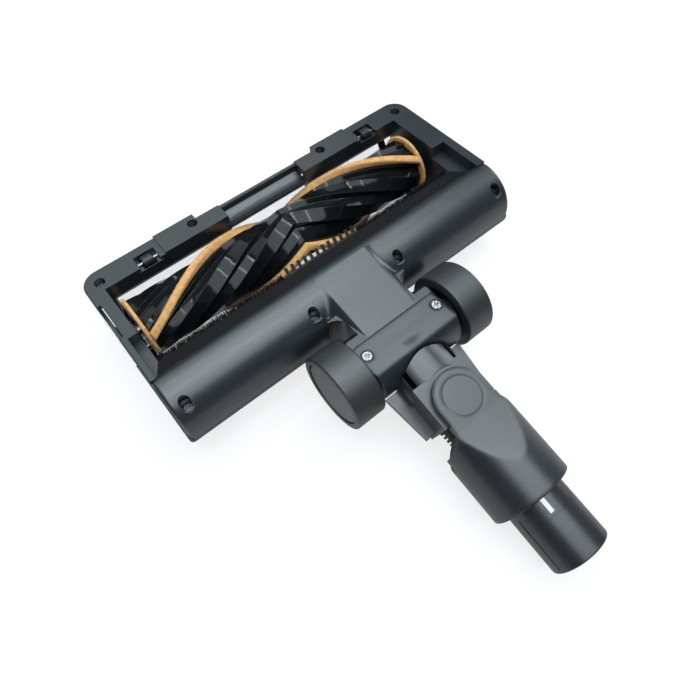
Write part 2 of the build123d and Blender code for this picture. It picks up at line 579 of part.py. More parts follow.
# Front rollers
caster = rod(CASTER_Y, CASTER_Z, CASTER_R, CASTER_X - CASTER_HALF, CASTER_X + CASTER_HALF)
caster = fillet(caster.edges().filter_by(GeomType.CIRCLE), 0.7)
caster -= rod(CASTER_Y, CASTER_Z, CASTER_PIN_R + PIN_PLAY, CASTER_X - 9, CASTER_X + 9)
caster_pin = rod(CASTER_Y, CASTER_Z, CASTER_PIN_R, CASTER_X - 6.6, CASTER_X + 6.6)

# Wheels
axle = rod(AXLE_Y, AXLE_Z, AXLE_R, TRUNNION_END + 0.4, WHEEL_OUT - 3.4)
clip = rod(AXLE_Y, AXLE_Z, 5.2, WHEEL_IN + 14.2, WHEEL_IN + 15.0) - rod(AXLE_Y, AXLE_Z, AXLE_R, 30, 60)
wheel_body = rod(AXLE_Y, AXLE_Z, TYRE_IN_R - SEAT, WHEEL_IN + 0.5, WHEEL_OUT - 2.4)
wheel_body -= rod(AXLE_Y, AXLE_Z, AXLE_R + PIN_PLAY, WHEEL_IN - 2.3, WHEEL_OUT + 8.2)
wheel_body -= rod(AXLE_Y, AXLE_Z, 6.4, WHEEL_IN + 13.8, WHEEL_OUT + 8.2)
wheel_body -= rod(AXLE_Y, AXLE_Z, 17.5, WHEEL_IN - 1, WHEEL_IN + 11) - rod(AXLE_Y, AXLE_Z, 7, 0, 80)
tyre = rod(AXLE_Y, AXLE_Z, WHEEL_R, WHEEL_IN, WHEEL_OUT)
tyre = fillet(tyre.edges().filter_by(GeomType.CIRCLE), 1.2)
tyre -= rod(AXLE_Y, AXLE_Z, TYRE_IN_R, WHEEL_IN - 1, WHEEL_OUT - 2.35)
tyre -= rod(AXLE_Y, AXLE_Z, HUB_CAP_R + 0.6, WHEEL_IN - 1, WHEEL_OUT + 1)
wheel_cap = rod(AXLE_Y, AXLE_Z, HUB_CAP_R, WHEEL_OUT - 2.35, WHEEL_OUT - 0.6)
wheel_cap = fillet(wheel_cap.edges().group_by(Axis.X)[-1], 0.5)

# Elbow: hub and trunnions, oval barrel, knuckle pad
oval = Pos(0, -19, 0) * Rot(90, 0, 0) * extrude(Ellipse(BARREL_HALF, BARREL_HIGH), 13, both=True)
elbow = rod(0, 0, HUB_R, -HUB_HALF, HUB_HALF) + oval
elbow += span(-ELBOW_HALF, ELBOW_HALF, 27, ELBOW_END_S, -ELBOW_FLAT, ELBOW_FLAT)
elbow += both(rod(0, 0, TRUNNION_R, HUB_HALF - 1, TRUNNION_END))
elbow -= post(0, -KNUCKLE_S, ELBOW_HALF - 0.1, ELBOW_FLAT, 30)
elbow -= post(0, -KNUCKLE_S, ELBOW_HALF - 0.1, -30, -ELBOW_FLAT)
elbow -= span(-16.4, 16.4, 4, 60, -11.4, 11.4) + rod(0, 0, 11, -16, 16)
elbow -= span(-16, 16, -16, 1, -9.5, 9.5)
pin_boss = post(0, -KNUCKLE_S, 7.4, 9.2, ELBOW_FLAT - 0.5)
elbow += pin_boss + mirror(pin_boss, Plane.XY)
elbow -= post(0, -KNUCKLE_S, PIVOT_R + PIN_PLAY, -30, 30)

# Hood round the lower half of the elbow
hood_length = HOOD_END_S - HOOD_START_S
cone = Pos(0, -(HOOD_START_S + HOOD_END_S) / 2, 0) * Rot(90, 0, 0)
hood = cone * Cone(HOOD_START_R, HOOD_END_R, hood_length)
hood -= cone * Cone(HOOD_START_R - HOOD_WALL, HOOD_END_R - HOOD_WALL, hood_length + 0.01)
hood_end_wall = cone * Cone(HOOD_START_R, HOOD_END_R, hood_length)
hood_end_wall &= span(-40, 40, HOOD_START_S, HOOD_START_S + 2.4, -40, 40)
hood_end_wall -= along(0, 0, 10, 10, 30)
hood += hood_end_wall - span(-BARREL_HALF - SEAT, BARREL_HALF + SEAT, 10, 30, -8, 40)
oval_seat = Ellipse(BARREL_HALF + SEAT, BARREL_HIGH + SEAT)
oval_room = Pos(0, -19, 0) * Rot(90, 0, 0) * extrude(oval_seat, 20, both=True)
hood -= oval_room
hood &= span(-40, 40, 0, 60, -40, HOOD_EDGE_H)
screw_pillar = post(0, -29, 3.6, -27.2, -BARREL_HIGH + 0.3) - oval_room
hood += screw_pillar
hood -= post(0, -29, SCREW_R + 0.2, -40, 0) + post(0, -29, WELL_R, -40, -25)
elbow -= post(0, -29, pilot, -21, 0)
hood_screw = Rot(180, 0, 0) * screw(0, 29, 25, 12)

# Bellows hose between elbow and connector tube
hose = span(-16.2, 16.2, 49.5, 54.3, -8.9, 8.9)
for ring in range(9):
    station = 54.3 + 2.6 * ring
    wide = 17.2 - 0.14 * ring
    high = 12.6 + 0.2 * ring
    crest = Rot(90, 0, 0) * extrude(Ellipse(wide, high), 1.3)
    valley = Rot(90, 0, 0) * extrude(Ellipse(wide - 1.7, high - 1.7), 1.3)
    hose += Pos(0, -station, 0) * crest + Pos(0, -station - 1.3, 0) * valley
hose += along(0, 0, TUBE_R - TUBE_WALL - SEAT, 77.7, 84)
hose -= Pos(0, -40, 0) * Rot(90, 0, 0) * extrude(Ellipse(12.6, 8.2), 90, both=True)

# Sleeve: tube with fish-mouth, sloped flat, upper ear and lower ear
flank = polygon(
    (-30, EAR_TOP), (-KNUCKLE_S - 15, EAR_TOP), (-RAMP_END_S, SLEEVE_R), (-RAMP_END_S, 40), (-30, 40),
)
bar = along(0, 0, SLEEVE_R, KNUCKLE_S, SLEEVE_END_S)
bar = fillet(bar.edges().group_by(Axis.Y)[0], 0.8)
hollow = along(0, 0, SLEEVE_R - SLEEVE_WALL, 0, SLEEVE_END_S - 2.4)
hollow += along(0, 0, TUBE_R - TUBE_STEP + SEAT, 100, 120)
ramp = polygon(
    (-KNUCKLE_S, EAR_TOP), (-KNUCKLE_S - 15, EAR_TOP), (-RAMP_END_S, SLEEVE_R),
    (-RAMP_END_S, SLEEVE_R - SLEEVE_WALL - 1),
    (-KNUCKLE_S - 15, EAR_IN), (-KNUCKLE_S, EAR_IN),
)
fish = rod(-KNUCKLE_S, 0, MOUTH_R, -40, 40) & box(-40, 40, -100, 0, 0, 40)
fish += rod(-KNUCKLE_S, 0, LOW_MOUTH_R, -40, 40) & box(-40, 40, -100, 0, -40, 0)
sleeve = bar - hollow - slab(flank, -40, 40) - fish
sleeve -= span(-40, 40, 0, KNUCKLE_S + 9, -40, 40)
roof = slab(ramp, -17.0, 17.0) & along(0, 0, SLEEVE_R, KNUCKLE_S + 9, 100)
sleeve += roof
sleeve += span(-EAR_R, EAR_R, KNUCKLE_S, KNUCKLE_S + 16, EAR_IN, EAR_TOP)
sleeve += post(0, -KNUCKLE_S, EAR_R, EAR_IN, EAR_TOP)
low_ear = post(0, -KNUCKLE_S, LOW_EAR_R, -LOW_EAR_OUT, -EAR_IN)
low_ear += span(-LOW_LINK_HALF, LOW_LINK_HALF, KNUCKLE_S, 66, -LOW_EAR_OUT, -EAR_IN)
link = polygon((-64, -EAR_IN), (-86, -21.8), (-86, -23.6), (-70, -23.6), (-64, -LOW_EAR_OUT))
low_ear += slab(link, -LOW_LINK_HALF, LOW_LINK_HALF)
sleeve += low_ear
cap_seat_h = EAR_TOP - 1.5
sleeve -= post(0, -KNUCKLE_S, BOSS_R + SEAT, cap_seat_h, 30)
sleeve -= post(0, -KNUCKLE_S, 9 + SEAT, cap_seat_h - 0.9, 30)
sleeve -= post(0, -KNUCKLE_S, PIVOT_R, 0, 30) + post(0, -KNUCKLE_S, PIVOT_R, -30, 0)
sleeve -= post(0, -KNUCKLE_S, 7.8 + SEAT, -30, -LOW_EAR_OUT + 1.2)
upper_pin = post(0, -KNUCKLE_S, PIVOT_R, 9.6, cap_seat_h - 0.5)
upper_pin += post(0, -KNUCKLE_S, 9, cap_seat_h - 0.9, cap_seat_h)
lower_pin = post(0, -KNUCKLE_S, PIVOT_R, -LOW_EAR_OUT + 1.2, -9.6)
upper_cap = post(0, -KNUCKLE_S, BOSS_R, cap_seat_h, EAR_TOP)
lower_cap = post(0, -KNUCKLE_S, 7.8, -LOW_EAR_OUT, -LOW_EAR_OUT + 1.2)

# Connector tube with side rails, contact carrier and blades
free_s = SLEEVE_END_S + 0.2
tube = along(0, 0, TUBE_R, free_s, TUBE_END_S)
tube = fillet(tube.edges().group_by(Axis.Y)[0], 0.9)
tube += along(0, 0, TUBE_R - TUBE_STEP, TUBE_START_S, free_s + 1)
for flange_s in (89.5, 103.5):
    tube += along(0, 0, SLEEVE_R - SLEEVE_WALL - SEAT, flange_s, flange_s + 2.5)
tube -= along(0, 0, TUBE_R - TUBE_WALL, 70, 160)
for h in (-3.6, 4.3):
    groove = span(15.9, 20, free_s + 4.4, TUBE_END_S - 2.5, h, h + 0.9)
    tube -= both(groove - along(0, 0, TUBE_R - 0.9, 100, 150))
carrier_box = span(-7.6, 11.8, free_s, 121, 10, 30)
tube -= carrier_box & along(0, 0, TUBE_R + 1, 100, 130)
carrier = span(-7.6 + SEAT, 11.8 - SEAT, free_s + SEAT, 121 - SEAT, 10, 30)
carrier &= along(0, 0, TUBE_R - 0.1, 100, 130)
carrier -= along(0, 0, TUBE_R - TUBE_WALL, 100, 130)
blades = []
for x in (-4.2, 8.4):
    slot = span(x - 1.2, x + 1.2, 110.6, 119, 14.0, 30) - along(0, 0, TUBE_R - TUBE_WALL + 0.7, 100, 130)
    carrier -= slot
    blades.append(slot & along(0, 0, TUBE_R, 100, 130))
seal_ring = along(0, 0, SLEEVE_R - SLEEVE_WALL - SEAT, 92.05, 94)
seal_ring -= along(0, 0, TUBE_R - TUBE_STEP, 80, 100)

# All pieces by name
head = {
    "sole_housing": sole, "axle_cap": cap, "top_cover": cover, "clear_window": window,
    "comb_guard": comb, "bristle_strips": group(*bristles), "drive_motor": motor,
    "motor_bracket": bracket, "motor_screws": group(*motor_screws), "motor_shaft": motor_shaft,
    "motor_pulley": motor_pulley, "drive_belt": belt, "roll_pulley": roll_pulley,
    "belt_cover": belt_cover, "control_board": board, "motor_leads": group(*leads),
    "end_plug": end_plug, "end_bearing": end_bearing, "pulley_bearing": pulley_bearing,
    "roll_shaft": roll_shaft, "drive_dog": drive_dog, "brush_core": core,
    "plush_strips": group(*strips), "end_rings": group(end_rings),
    "housing_screws": group(*housing_screws), "cap_screws": cap_screws,
    "left_front_roller": mirror(caster, Plane.YZ), "right_front_roller": caster,
    "front_roller_pins": pair(caster_pin), "wheel_axles": pair(axle), "axle_clips": pair(clip),
    "left_tyre": mirror(tyre, Plane.YZ), "right_tyre": tyre,
    "left_wheel_body": mirror(wheel_body, Plane.YZ), "right_wheel_body": wheel_body,
    "left_wheel_cap": mirror(wheel_cap, Plane.YZ), "right_wheel_cap": wheel_cap,
}
tail = {
    "elbow_shell": elbow, "elbow_hood": hood, "hood_screw": hood_screw, "bellows_hose": hose,
    "sleeve": sleeve, "knuckle_pins": group(upper_pin, lower_pin), "upper_boss_cap": upper_cap,
    "lower_boss_cap": lower_cap, "connector_tube": tube, "contact_carrier": carrier,
    "contact_blades": group(*blades), "seal_ring": seal_ring,
}
pieces = {**head, **{name: neck(shape) for name, shape in tail.items()}}

# Laying the head down: dome and lower rim of the sleeve touch the table
pitch = radians(NECK_PITCH)
rim_y = AXLE_Y - SLEEVE_END_S * cos(pitch) + SLEEVE_R * sin(pitch)
rim_z = AXLE_Z - SLEEVE_END_S * sin(pitch) - SLEEVE_R * cos(pitch)
run, drop = ROLL_Y - rim_y, ROLL_Z - rim_z
tilt = degrees(acos(DOME_R / hypot(run, drop)) - atan2(run, drop))
laid = {name: Rot(-tilt, 0, 0) * shape for name, shape in pieces.items()}
boxes = [shape.bounding_box() for shape in laid.values()]
middle_y = (min(b.min.Y for b in boxes) + max(b.max.Y for b in boxes)) / 2
table_z = min(b.min.Z for b in boxes)
placement = Pos(0, -middle_y, -table_z) * Rot(-tilt, 0, 0)

for name, shape in pieces.items():
    export_step(placement * shape, f"parts/{name}.step")
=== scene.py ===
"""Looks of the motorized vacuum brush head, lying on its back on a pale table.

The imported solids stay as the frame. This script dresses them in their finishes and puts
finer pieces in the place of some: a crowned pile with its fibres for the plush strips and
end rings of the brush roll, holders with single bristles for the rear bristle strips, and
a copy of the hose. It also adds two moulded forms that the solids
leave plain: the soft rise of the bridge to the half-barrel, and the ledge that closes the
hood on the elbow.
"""

from __future__ import annotations

import json
import logging
import math
from dataclasses import dataclass, field
from enum import Enum
from typing import Any

import bpy
import numpy as np
from mathutils import Matrix

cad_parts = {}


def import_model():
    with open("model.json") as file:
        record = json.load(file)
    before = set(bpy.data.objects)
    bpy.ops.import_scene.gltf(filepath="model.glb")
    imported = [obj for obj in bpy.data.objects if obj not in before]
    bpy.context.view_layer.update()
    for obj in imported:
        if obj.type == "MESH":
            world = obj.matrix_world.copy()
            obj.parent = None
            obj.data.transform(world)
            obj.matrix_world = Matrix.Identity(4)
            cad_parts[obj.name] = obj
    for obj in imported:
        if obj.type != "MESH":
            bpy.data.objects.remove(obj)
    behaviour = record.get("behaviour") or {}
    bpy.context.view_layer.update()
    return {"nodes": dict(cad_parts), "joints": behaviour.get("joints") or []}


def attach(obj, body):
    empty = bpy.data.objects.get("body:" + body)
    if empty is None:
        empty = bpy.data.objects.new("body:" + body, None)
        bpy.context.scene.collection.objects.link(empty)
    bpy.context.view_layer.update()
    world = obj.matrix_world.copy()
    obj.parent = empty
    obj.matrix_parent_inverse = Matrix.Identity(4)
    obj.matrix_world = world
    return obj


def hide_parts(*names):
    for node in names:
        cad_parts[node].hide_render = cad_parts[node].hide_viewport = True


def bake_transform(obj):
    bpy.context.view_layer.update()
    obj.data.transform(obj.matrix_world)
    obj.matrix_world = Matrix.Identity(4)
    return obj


MM = 0.001
MERGE_GAP = 1e-6
THIRDS = (0.0, 2 * math.pi / 3, 4 * math.pi / 3)
SEED = 20

log = logging.getLogger("brush_head")

Colour = tuple[float, float, float]
Place = tuple[float, float, float]
Pair = tuple[float, float]
Object = bpy.types.Object
Material = bpy.types.Material
Tree = bpy.types.NodeTree
Node = bpy.types.Node
Socket = bpy.types.NodeSocket


# Frame of the head

@dataclass(frozen=True)
class HeadFrame:
    """The head's own axes: X along the brush, Y to the front edge, Z out of the sole.

    Sizes are in millimetres from the middle of the sole's plane. The head lies tilted
    by a few degrees, so a point is turned about X and then shifted into the shared
    frame. ROLL and AXLE are the Y and Z of the brush roll's and the wheels' axes.
    """

    tilt: float
    shift_y: float
    shift_z: float

    ROLL = (-27.0, -21.5)
    AXLE = (-134.3, -23.7)
    NECK_PITCH = math.radians(13.5)

    @classmethod
    def from_joints(cls, joints: list[dict[str, Any]]) -> "HeadFrame":
        """Find the tilt and shift from the axes of the brush roll and the neck.

        The tilt is the turn between the line that joins both axes in the head's own
        frame and the line that joins them in the record. The shift then brings the roll's
        axis to its place in the record.

        Args:
            joints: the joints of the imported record, with their places in metres.

        Returns:
            The frame in which the head's own sizes hold.
        """
        place = {joint["name"]: joint["pos_m"] for joint in joints}
        roll = np.array(place["brush_spin"][1:]) / MM
        axle = np.array(place["neck_pitch"][1:]) / MM
        drawn = np.array(cls.ROLL) - np.array(cls.AXLE)
        laid = roll - axle
        tilt = math.atan2(drawn[1], drawn[0]) - math.atan2(laid[1], laid[0])
        cos, sin = math.cos(tilt), math.sin(tilt)
        shift_y = roll[0] - (cls.ROLL[0] * cos + cls.ROLL[1] * sin)
        shift_z = roll[1] - (-cls.ROLL[0] * sin + cls.ROLL[1] * cos)
        return cls(tilt, shift_y, shift_z)

    def turn(self, vectors: np.ndarray) -> np.ndarray:
        """Turn directions about X by the tilt, out of the head's own axes.

        Args:
            vectors: directions in the head's axes, with their coordinates last.

        Returns:
            The same directions in the shared frame.
        """
        x, y, z = np.moveaxis(np.asarray(vectors, float), -1, 0)
        cos, sin = math.cos(self.tilt), math.sin(self.tilt)
        return np.stack([x, y * cos + z * sin, z * cos - y * sin], axis=-1)

    def place(self, points: np.ndarray) -> np.ndarray:
        """Place points of the head, in millimetres, in the shared frame, in metres."""
        return (self.turn(points) + np.array([0.0, self.shift_y, self.shift_z])) * MM

    def read(self, points: np.ndarray) -> np.ndarray:
        """Find where points of the shared frame lie in the head's own frame.

        Args:
            points: points of the shared frame in metres, one per row.

        Returns:
            The same points in the head's own frame, in millimetres.
        """
        x, y, z = (np.asarray(points, float) / MM - np.array([0.0, self.shift_y, self.shift_z])).T
        cos, sin = math.cos(self.tilt), math.sin(self.tilt)
        return np.stack([x, y * cos - z * sin, y * sin + z * cos], axis=-1)

    def place_neck(self, points: np.ndarray) -> np.ndarray:
        """Place points of the neck in the shared frame, in metres.

        The neck runs back from the wheels' axis and falls by its pitch, so the distance
        behind the axis and the height are turned by that pitch.

        Args:
            points: side, distance behind the axis along the neck and height, in that
                order, in millimetres, with these coordinates last.

        Returns:
            The same points in the shared frame.
        """
        side, behind, high = np.moveaxis(np.asarray(points, float), -1, 0)
        cos, sin = math.cos(self.NECK_PITCH), math.sin(self.NECK_PITCH)
        y = self.AXLE[0] - behind * cos - high * sin
        z = self.AXLE[1] - behind * sin + high * cos
        return self.place(np.stack([side, y, z], axis=-1))


# Objects and meshes

def link(name: str, data: bpy.types.ID) -> Object:
    """Make an object of a mesh, lamp or camera.

    Args:
        name: the object's name.
        data: the mesh, lamp or camera.

    Returns:
        The object, linked to the scene and at the origin.
    """
    made = bpy.data.objects.new(name, data)
    bpy.context.scene.collection.objects.link(made)
    return made


def stand(made: Object, place: Place, right: np.ndarray, up: np.ndarray, back: np.ndarray) -> None:
    """Set the place and turn of a lamp or camera, which looks away from its back.

    Args:
        made: the lamp or camera.
        place: where it stands, in metres.
        right: unit vector to its right.
        up: unit vector to its top.
        back: unit vector to its back.
    """
    turn = Matrix(np.stack([right, up, back], axis=1).tolist()).to_4x4()
    made.matrix_world = Matrix.Translation(place) @ turn


def new_mesh(name: str, points: np.ndarray, *faces: np.ndarray, smooth: bool = True) -> Object:
    """Make an object at the origin from vertices and faces.

    Args:
        name: the piece's name.
        points: vertices in metres, one per row.
        faces: arrays of vertex numbers, one face per row, three or four to a face.
        smooth: whether its faces are shaded smooth.

    Returns:
        The linked object.
    """
    mesh = bpy.data.meshes.new(name)
    mesh.from_pydata(points.tolist(), [], [face for block in faces for face in block.tolist()])
    mesh.polygons.foreach_set("use_smooth", np.full(len(mesh.polygons), smooth))
    mesh.update()
    return link(name, mesh)


def sheet_faces(rows: int, columns: int) -> np.ndarray:
    """Quads of a sheet of points, where row i and column j meet at vertex i * columns + j.

    Args:
        rows: rows of points.
        columns: points in a row.

    Returns:
        The quads, one per row.
    """
    i, j = np.meshgrid(np.arange(rows - 1), np.arange(columns - 1), indexing="ij")
    corner = i * columns + j
    return np.stack([corner, corner + 1, corner + columns + 1, corner + columns], axis=-1).reshape(-1, 4)


def tube_faces(rings: int, around: int, closed: bool = False) -> np.ndarray:
    """Quads between neighbouring rings of a swept loop.

    Ring i and place j meet at vertex i * around + j, and a quad joins it to the next
    place and the next ring.

    Args:
        rings: rings along the sweep.
        around: places round a ring.
        closed: whether the last ring is joined to the first.

    Returns:
        The quads, one per row.
    """
    i, j = np.meshgrid(np.arange(rings if closed else rings - 1), np.arange(around), indexing="ij")
    k = (j + 1) % around
    beyond = (i + 1) % rings
    quads = np.stack([i * around + j, i * around + k, beyond * around + k, beyond * around + j], axis=-1)
    return quads.reshape(-1, 4)


def capped_tube(name: str, rings: np.ndarray, flip: bool = False, smooth: bool = True) -> Object:
    """A closed tube through rings of points, each end drawn to its middle.

    Args:
        name: the piece's name.
        rings: array of rings, places around and coordinates, in metres.
        flip: turn the faces the other way, where the loop runs clockwise.
        smooth: whether its faces are shaded smooth.

    Returns:
        The object, with faces outwards.
    """
    count, around = rings.shape[:2]
    start = np.repeat(rings[:1].mean(axis=1, keepdims=True), around, axis=1)
    end = np.repeat(rings[-1:].mean(axis=1, keepdims=True), around, axis=1)
    shell = np.concatenate([start, rings, end])
    faces = tube_faces(count + 2, around)
    if flip:
        faces = faces[:, ::-1]
    made = new_mesh(name, shell.reshape(-1, 3), faces, smooth=smooth)
    modifier = made.modifiers.new("merge", "WELD")
    modifier.merge_threshold = MERGE_GAP
    apply_modifiers(made)
    return made


def apply_modifiers(made: Object) -> None:
    """Write an object's modifiers into its mesh.

    Args:
        made: the object, whose modifiers are cleared.
    """
    graph = bpy.context.evaluated_depsgraph_get()
    mesh = bpy.data.meshes.new_from_object(made.evaluated_get(graph))
    old = made.data
    made.modifiers.clear()
    made.data = mesh
    bpy.data.meshes.remove(old)


def fibre_mesh(name: str, roots: np.ndarray, tips: np.ndarray, width: float) -> Object:
    """Fine hairs, each a slender closed pyramid with a three-sided root.

    The root triangle stands square to the hair, and its three corners join the tip. Its
    first side is the hair's direction crossed with X, or with Y where the hair is near X.

    Args:
        name: the piece's name.
        roots: root points in metres.
        tips: tip points in metres.
        width: distance of a root corner from the hair's middle, in metres.

    Returns:
        The object that holds all the hairs.
    """
    far_from_x = 0.8
    axis = tips - roots
    axis /= np.linalg.norm(axis, axis=1, keepdims=True)
    helper = np.where(np.abs(axis[:, :1]) < far_from_x, [[1.0, 0.0, 0.0]], [[0.0, 1.0, 0.0]])
    side = np.cross(axis, helper)
    side /= np.linalg.norm(side, axis=1, keepdims=True)
    other = np.cross(axis, side)
    corners = [roots + width * (math.cos(turn) * side + math.sin(turn) * other) for turn in THIRDS]
    points = np.stack([*corners, tips], axis=1)
    pattern = np.array([[0, 1, 3], [1, 2, 3], [2, 0, 3], [2, 1, 0]])
    faces = (np.arange(len(roots))[:, None, None] * points.shape[1] + pattern).reshape(-1, 3)
    return new_mesh(name, points.reshape(-1, 3), faces, smooth=False)


def full_turn(places: int) -> np.ndarray:
    """Angles in equal steps once round, the first not repeated at the end."""
    return np.linspace(0, 2 * math.pi, places, endpoint=False)


def widened(wave: np.ndarray, power: float) -> np.ndarray:
    """Widen a wave's crests: its size is raised to a power below one, and its sign stays."""
    return np.sign(wave) * np.abs(wave) ** power


def ripple(u: np.ndarray, v: np.ndarray, rng: np.random.Generator, waves: int = 9,
           pace: Pair = (0.5, 3.2)) -> np.ndarray:
    """Soft uneven surface between -1 and 1: a sum of sine waves of random length and phase.

    Args:
        u: first coordinate, in millimetres.
        v: second coordinate, in millimetres.
        rng: source of the waves' lengths and phases.
        waves: number of waves.
        pace: least and greatest radians of a wave for each millimetre.

    Returns:
        The height at each place.
    """
    height = np.zeros(np.broadcast(u, v).shape)
    for _ in range(waves):
        a, b = rng.uniform(*pace, 2)
        height = height + np.sin(a * u + b * v + rng.uniform(0, 2 * math.pi))
    return height / waves


# Shader nodes

class NodeSheet:
    """A node tree under construction, with short calls to add and join nodes."""

    def __init__(self, tree: Tree) -> None:
        """Start on a tree, emptied of its nodes."""
        self.tree = tree
        tree.nodes.clear()

    def add(self, kind: str, **settings: Any) -> Node:
        """Add a node and set its properties and the plain values of its inputs.

        Args:
            kind: the node's type name.
            settings: property names, or input names with spaces as underscores.

        Returns:
            The node.
        """
        node = self.tree.nodes.new(kind)
        for key, value in settings.items():
            if hasattr(node, key):
                setattr(node, key, value)
            else:
                node.inputs[key.replace("_", " ")].default_value = value
        return node

    def join(self, out: Socket, into: Socket) -> None:
        """Link an output to an input."""
        self.tree.links.new(out, into)

    def math(self, operation: str, *values: Any) -> Socket:
        """Add a Math node.

        Args:
            operation: its operation.
            values: plain values or sockets, one for each input used.

        Returns:
            The node's output.
        """
        node = self.tree.nodes.new("ShaderNodeMath")
        node.operation = operation
        for socket, value in zip(node.inputs, values):
            if isinstance(value, Socket):
                self.join(value, socket)
            else:
                socket.default_value = value
        return node.outputs[0]

    def ramp(self, value: Socket, low: Colour, high: Colour, span: Pair = (0.0, 1.0)) -> Socket:
        """Blend two colours over a value's span.

        Args:
            value: the value that chooses the colour.
            low: colour at the span's start and below.
            high: colour at the span's end and above.
            span: the two values between which the colours blend.

        Returns:
            The colour's output.
        """
        node = self.tree.nodes.new("ShaderNodeValToRGB")
        for element, position, colour in zip(node.color_ramp.elements, span, (low, high)):
            element.position = position
            element.color = (*colour, 1.0)
        self.join(value, node.inputs["Fac"])
        return node.outputs["Color"]

    def noise(self, vector: Socket, scale: Socket, detail: float, roughness: float) -> Socket:
        """Add a noise texture.

        Args:
            vector: the place at which it is read.
            scale: its scale.
            detail: number of finer layers.
            roughness: how strong the finer layers are.

        Returns:
            The noise, between 0 and 1.
        """
        node = self.add("ShaderNodeTexNoise", Detail=detail, Roughness=roughness)
        self.join(vector, node.inputs["Vector"])
        self.join(scale, node.inputs["Scale"])
        return node.outputs["Fac"]

    def mix(self, share: Socket, first: Node, second: Node) -> Socket:
        """Mix two shaders.

        Args:
            share: 0 for the first shader alone and 1 for the second.
            first: node of the first shader.
            second: node of the second shader.

        Returns:
            The mixed shader's output.
        """
        node = self.tree.nodes.new("ShaderNodeMixShader")
        self.join(share, node.inputs["Fac"])
        self.join(first.outputs[0], node.inputs[1])
        self.join(second.outputs[0], node.inputs[2])
        return node.outputs[0]


def group_tree(name: str, inputs: dict[str, float], outputs: tuple[str, ...]) -> Tree:
    """An empty shader node group with number sockets.

    Args:
        name: the group's name.
        inputs: input names with their plain values.
        outputs: output names.

    Returns:
        The group's tree.
    """
    tree = bpy.data.node_groups.new(name, "ShaderNodeTree")
    for label, value in inputs.items():
        socket = tree.interface.new_socket(name=label, in_out="INPUT", socket_type="NodeSocketFloat")
        socket.default_value = value
    for label in outputs:
        tree.interface.new_socket(name=label, in_out="OUTPUT", socket_type="NodeSocketFloat")
    return tree


def moulded_grain_group() -> Tree:
    """Grain of a moulded plastic: Height of the spark-eroded texture and a slow Mottle.

    Height is fine noise at the given scale, and Mottle is broad noise between 0 and 1.

    Returns:
        The group's tree.
    """
    tree = group_tree("moulded_grain", {"Grain Scale": 3000.0, "Mottle Scale": 25.0}, ("Height", "Mottle"))
    sheet = NodeSheet(tree)
    given = sheet.add("NodeGroupInput")
    result = sheet.add("NodeGroupOutput")
    where = sheet.add("ShaderNodeTexCoord").outputs["Object"]
    fine = sheet.noise(where, given.outputs["Grain Scale"], detail=2.0, roughness=0.6)
    broad = sheet.noise(where, given.outputs["Mottle Scale"], detail=3.0, roughness=0.55)
    sheet.join(fine, result.inputs["Height"])
    sheet.join(broad, result.inputs["Mottle"])
    return tree


def drawn_lines_group() -> Tree:
    """Fine lines of drawn or turned metal: Height of lines along X and a slow Mottle.

    Height is noise that is stretched twentyfold along X, and Mottle is plain noise.

    Returns:
        The group's tree.
    """
    tree = group_tree("drawn_lines", {"Line Scale": 900.0, "Mottle Scale": 60.0}, ("Height", "Mottle"))
    sheet = NodeSheet(tree)
    given = sheet.add("NodeGroupInput")
    result = sheet.add("NodeGroupOutput")
    where = sheet.add("ShaderNodeTexCoord").outputs["Object"]
    stretch = sheet.add("ShaderNodeMapping", Scale=(0.05, 1.0, 1.0))
    sheet.join(where, stretch.inputs["Vector"])
    lines = sheet.noise(stretch.outputs["Vector"], given.outputs["Line Scale"], detail=2.0, roughness=0.5)
    broad = sheet.noise(where, given.outputs["Mottle Scale"], detail=2.0, roughness=0.5)
    sheet.join(lines, result.inputs["Height"])
    sheet.join(broad, result.inputs["Mottle"])
    return tree


def span_mask_group() -> Tree:
    """Mask along X: Outside is 1 in a band of the Width before the Start and after the End.

    Returns:
        The group's tree.
    """
    tree = group_tree("span_mask", {"Start": -0.1, "End": 0.1, "Width": 0.005}, ("Outside",))
    sheet = NodeSheet(tree)
    given = sheet.add("NodeGroupInput")
    result = sheet.add("NodeGroupOutput")
    where = sheet.add("ShaderNodeTexCoord")
    parts = sheet.add("ShaderNodeSeparateXYZ")
    sheet.join(where.outputs["Object"], parts.inputs[0])
    half = sheet.math("MULTIPLY", given.outputs["Width"], 0.5)
    near_start = sheet.math("SUBTRACT", given.outputs["Start"], half)
    near_end = sheet.math("ADD", given.outputs["End"], half)
    before = sheet.math("COMPARE", parts.outputs["X"], near_start, half)
    after = sheet.math("COMPARE", parts.outputs["X"], near_end, half)
    sheet.join(sheet.math("MAXIMUM", before, after), result.inputs["Outside"])
    return tree


# Finishes

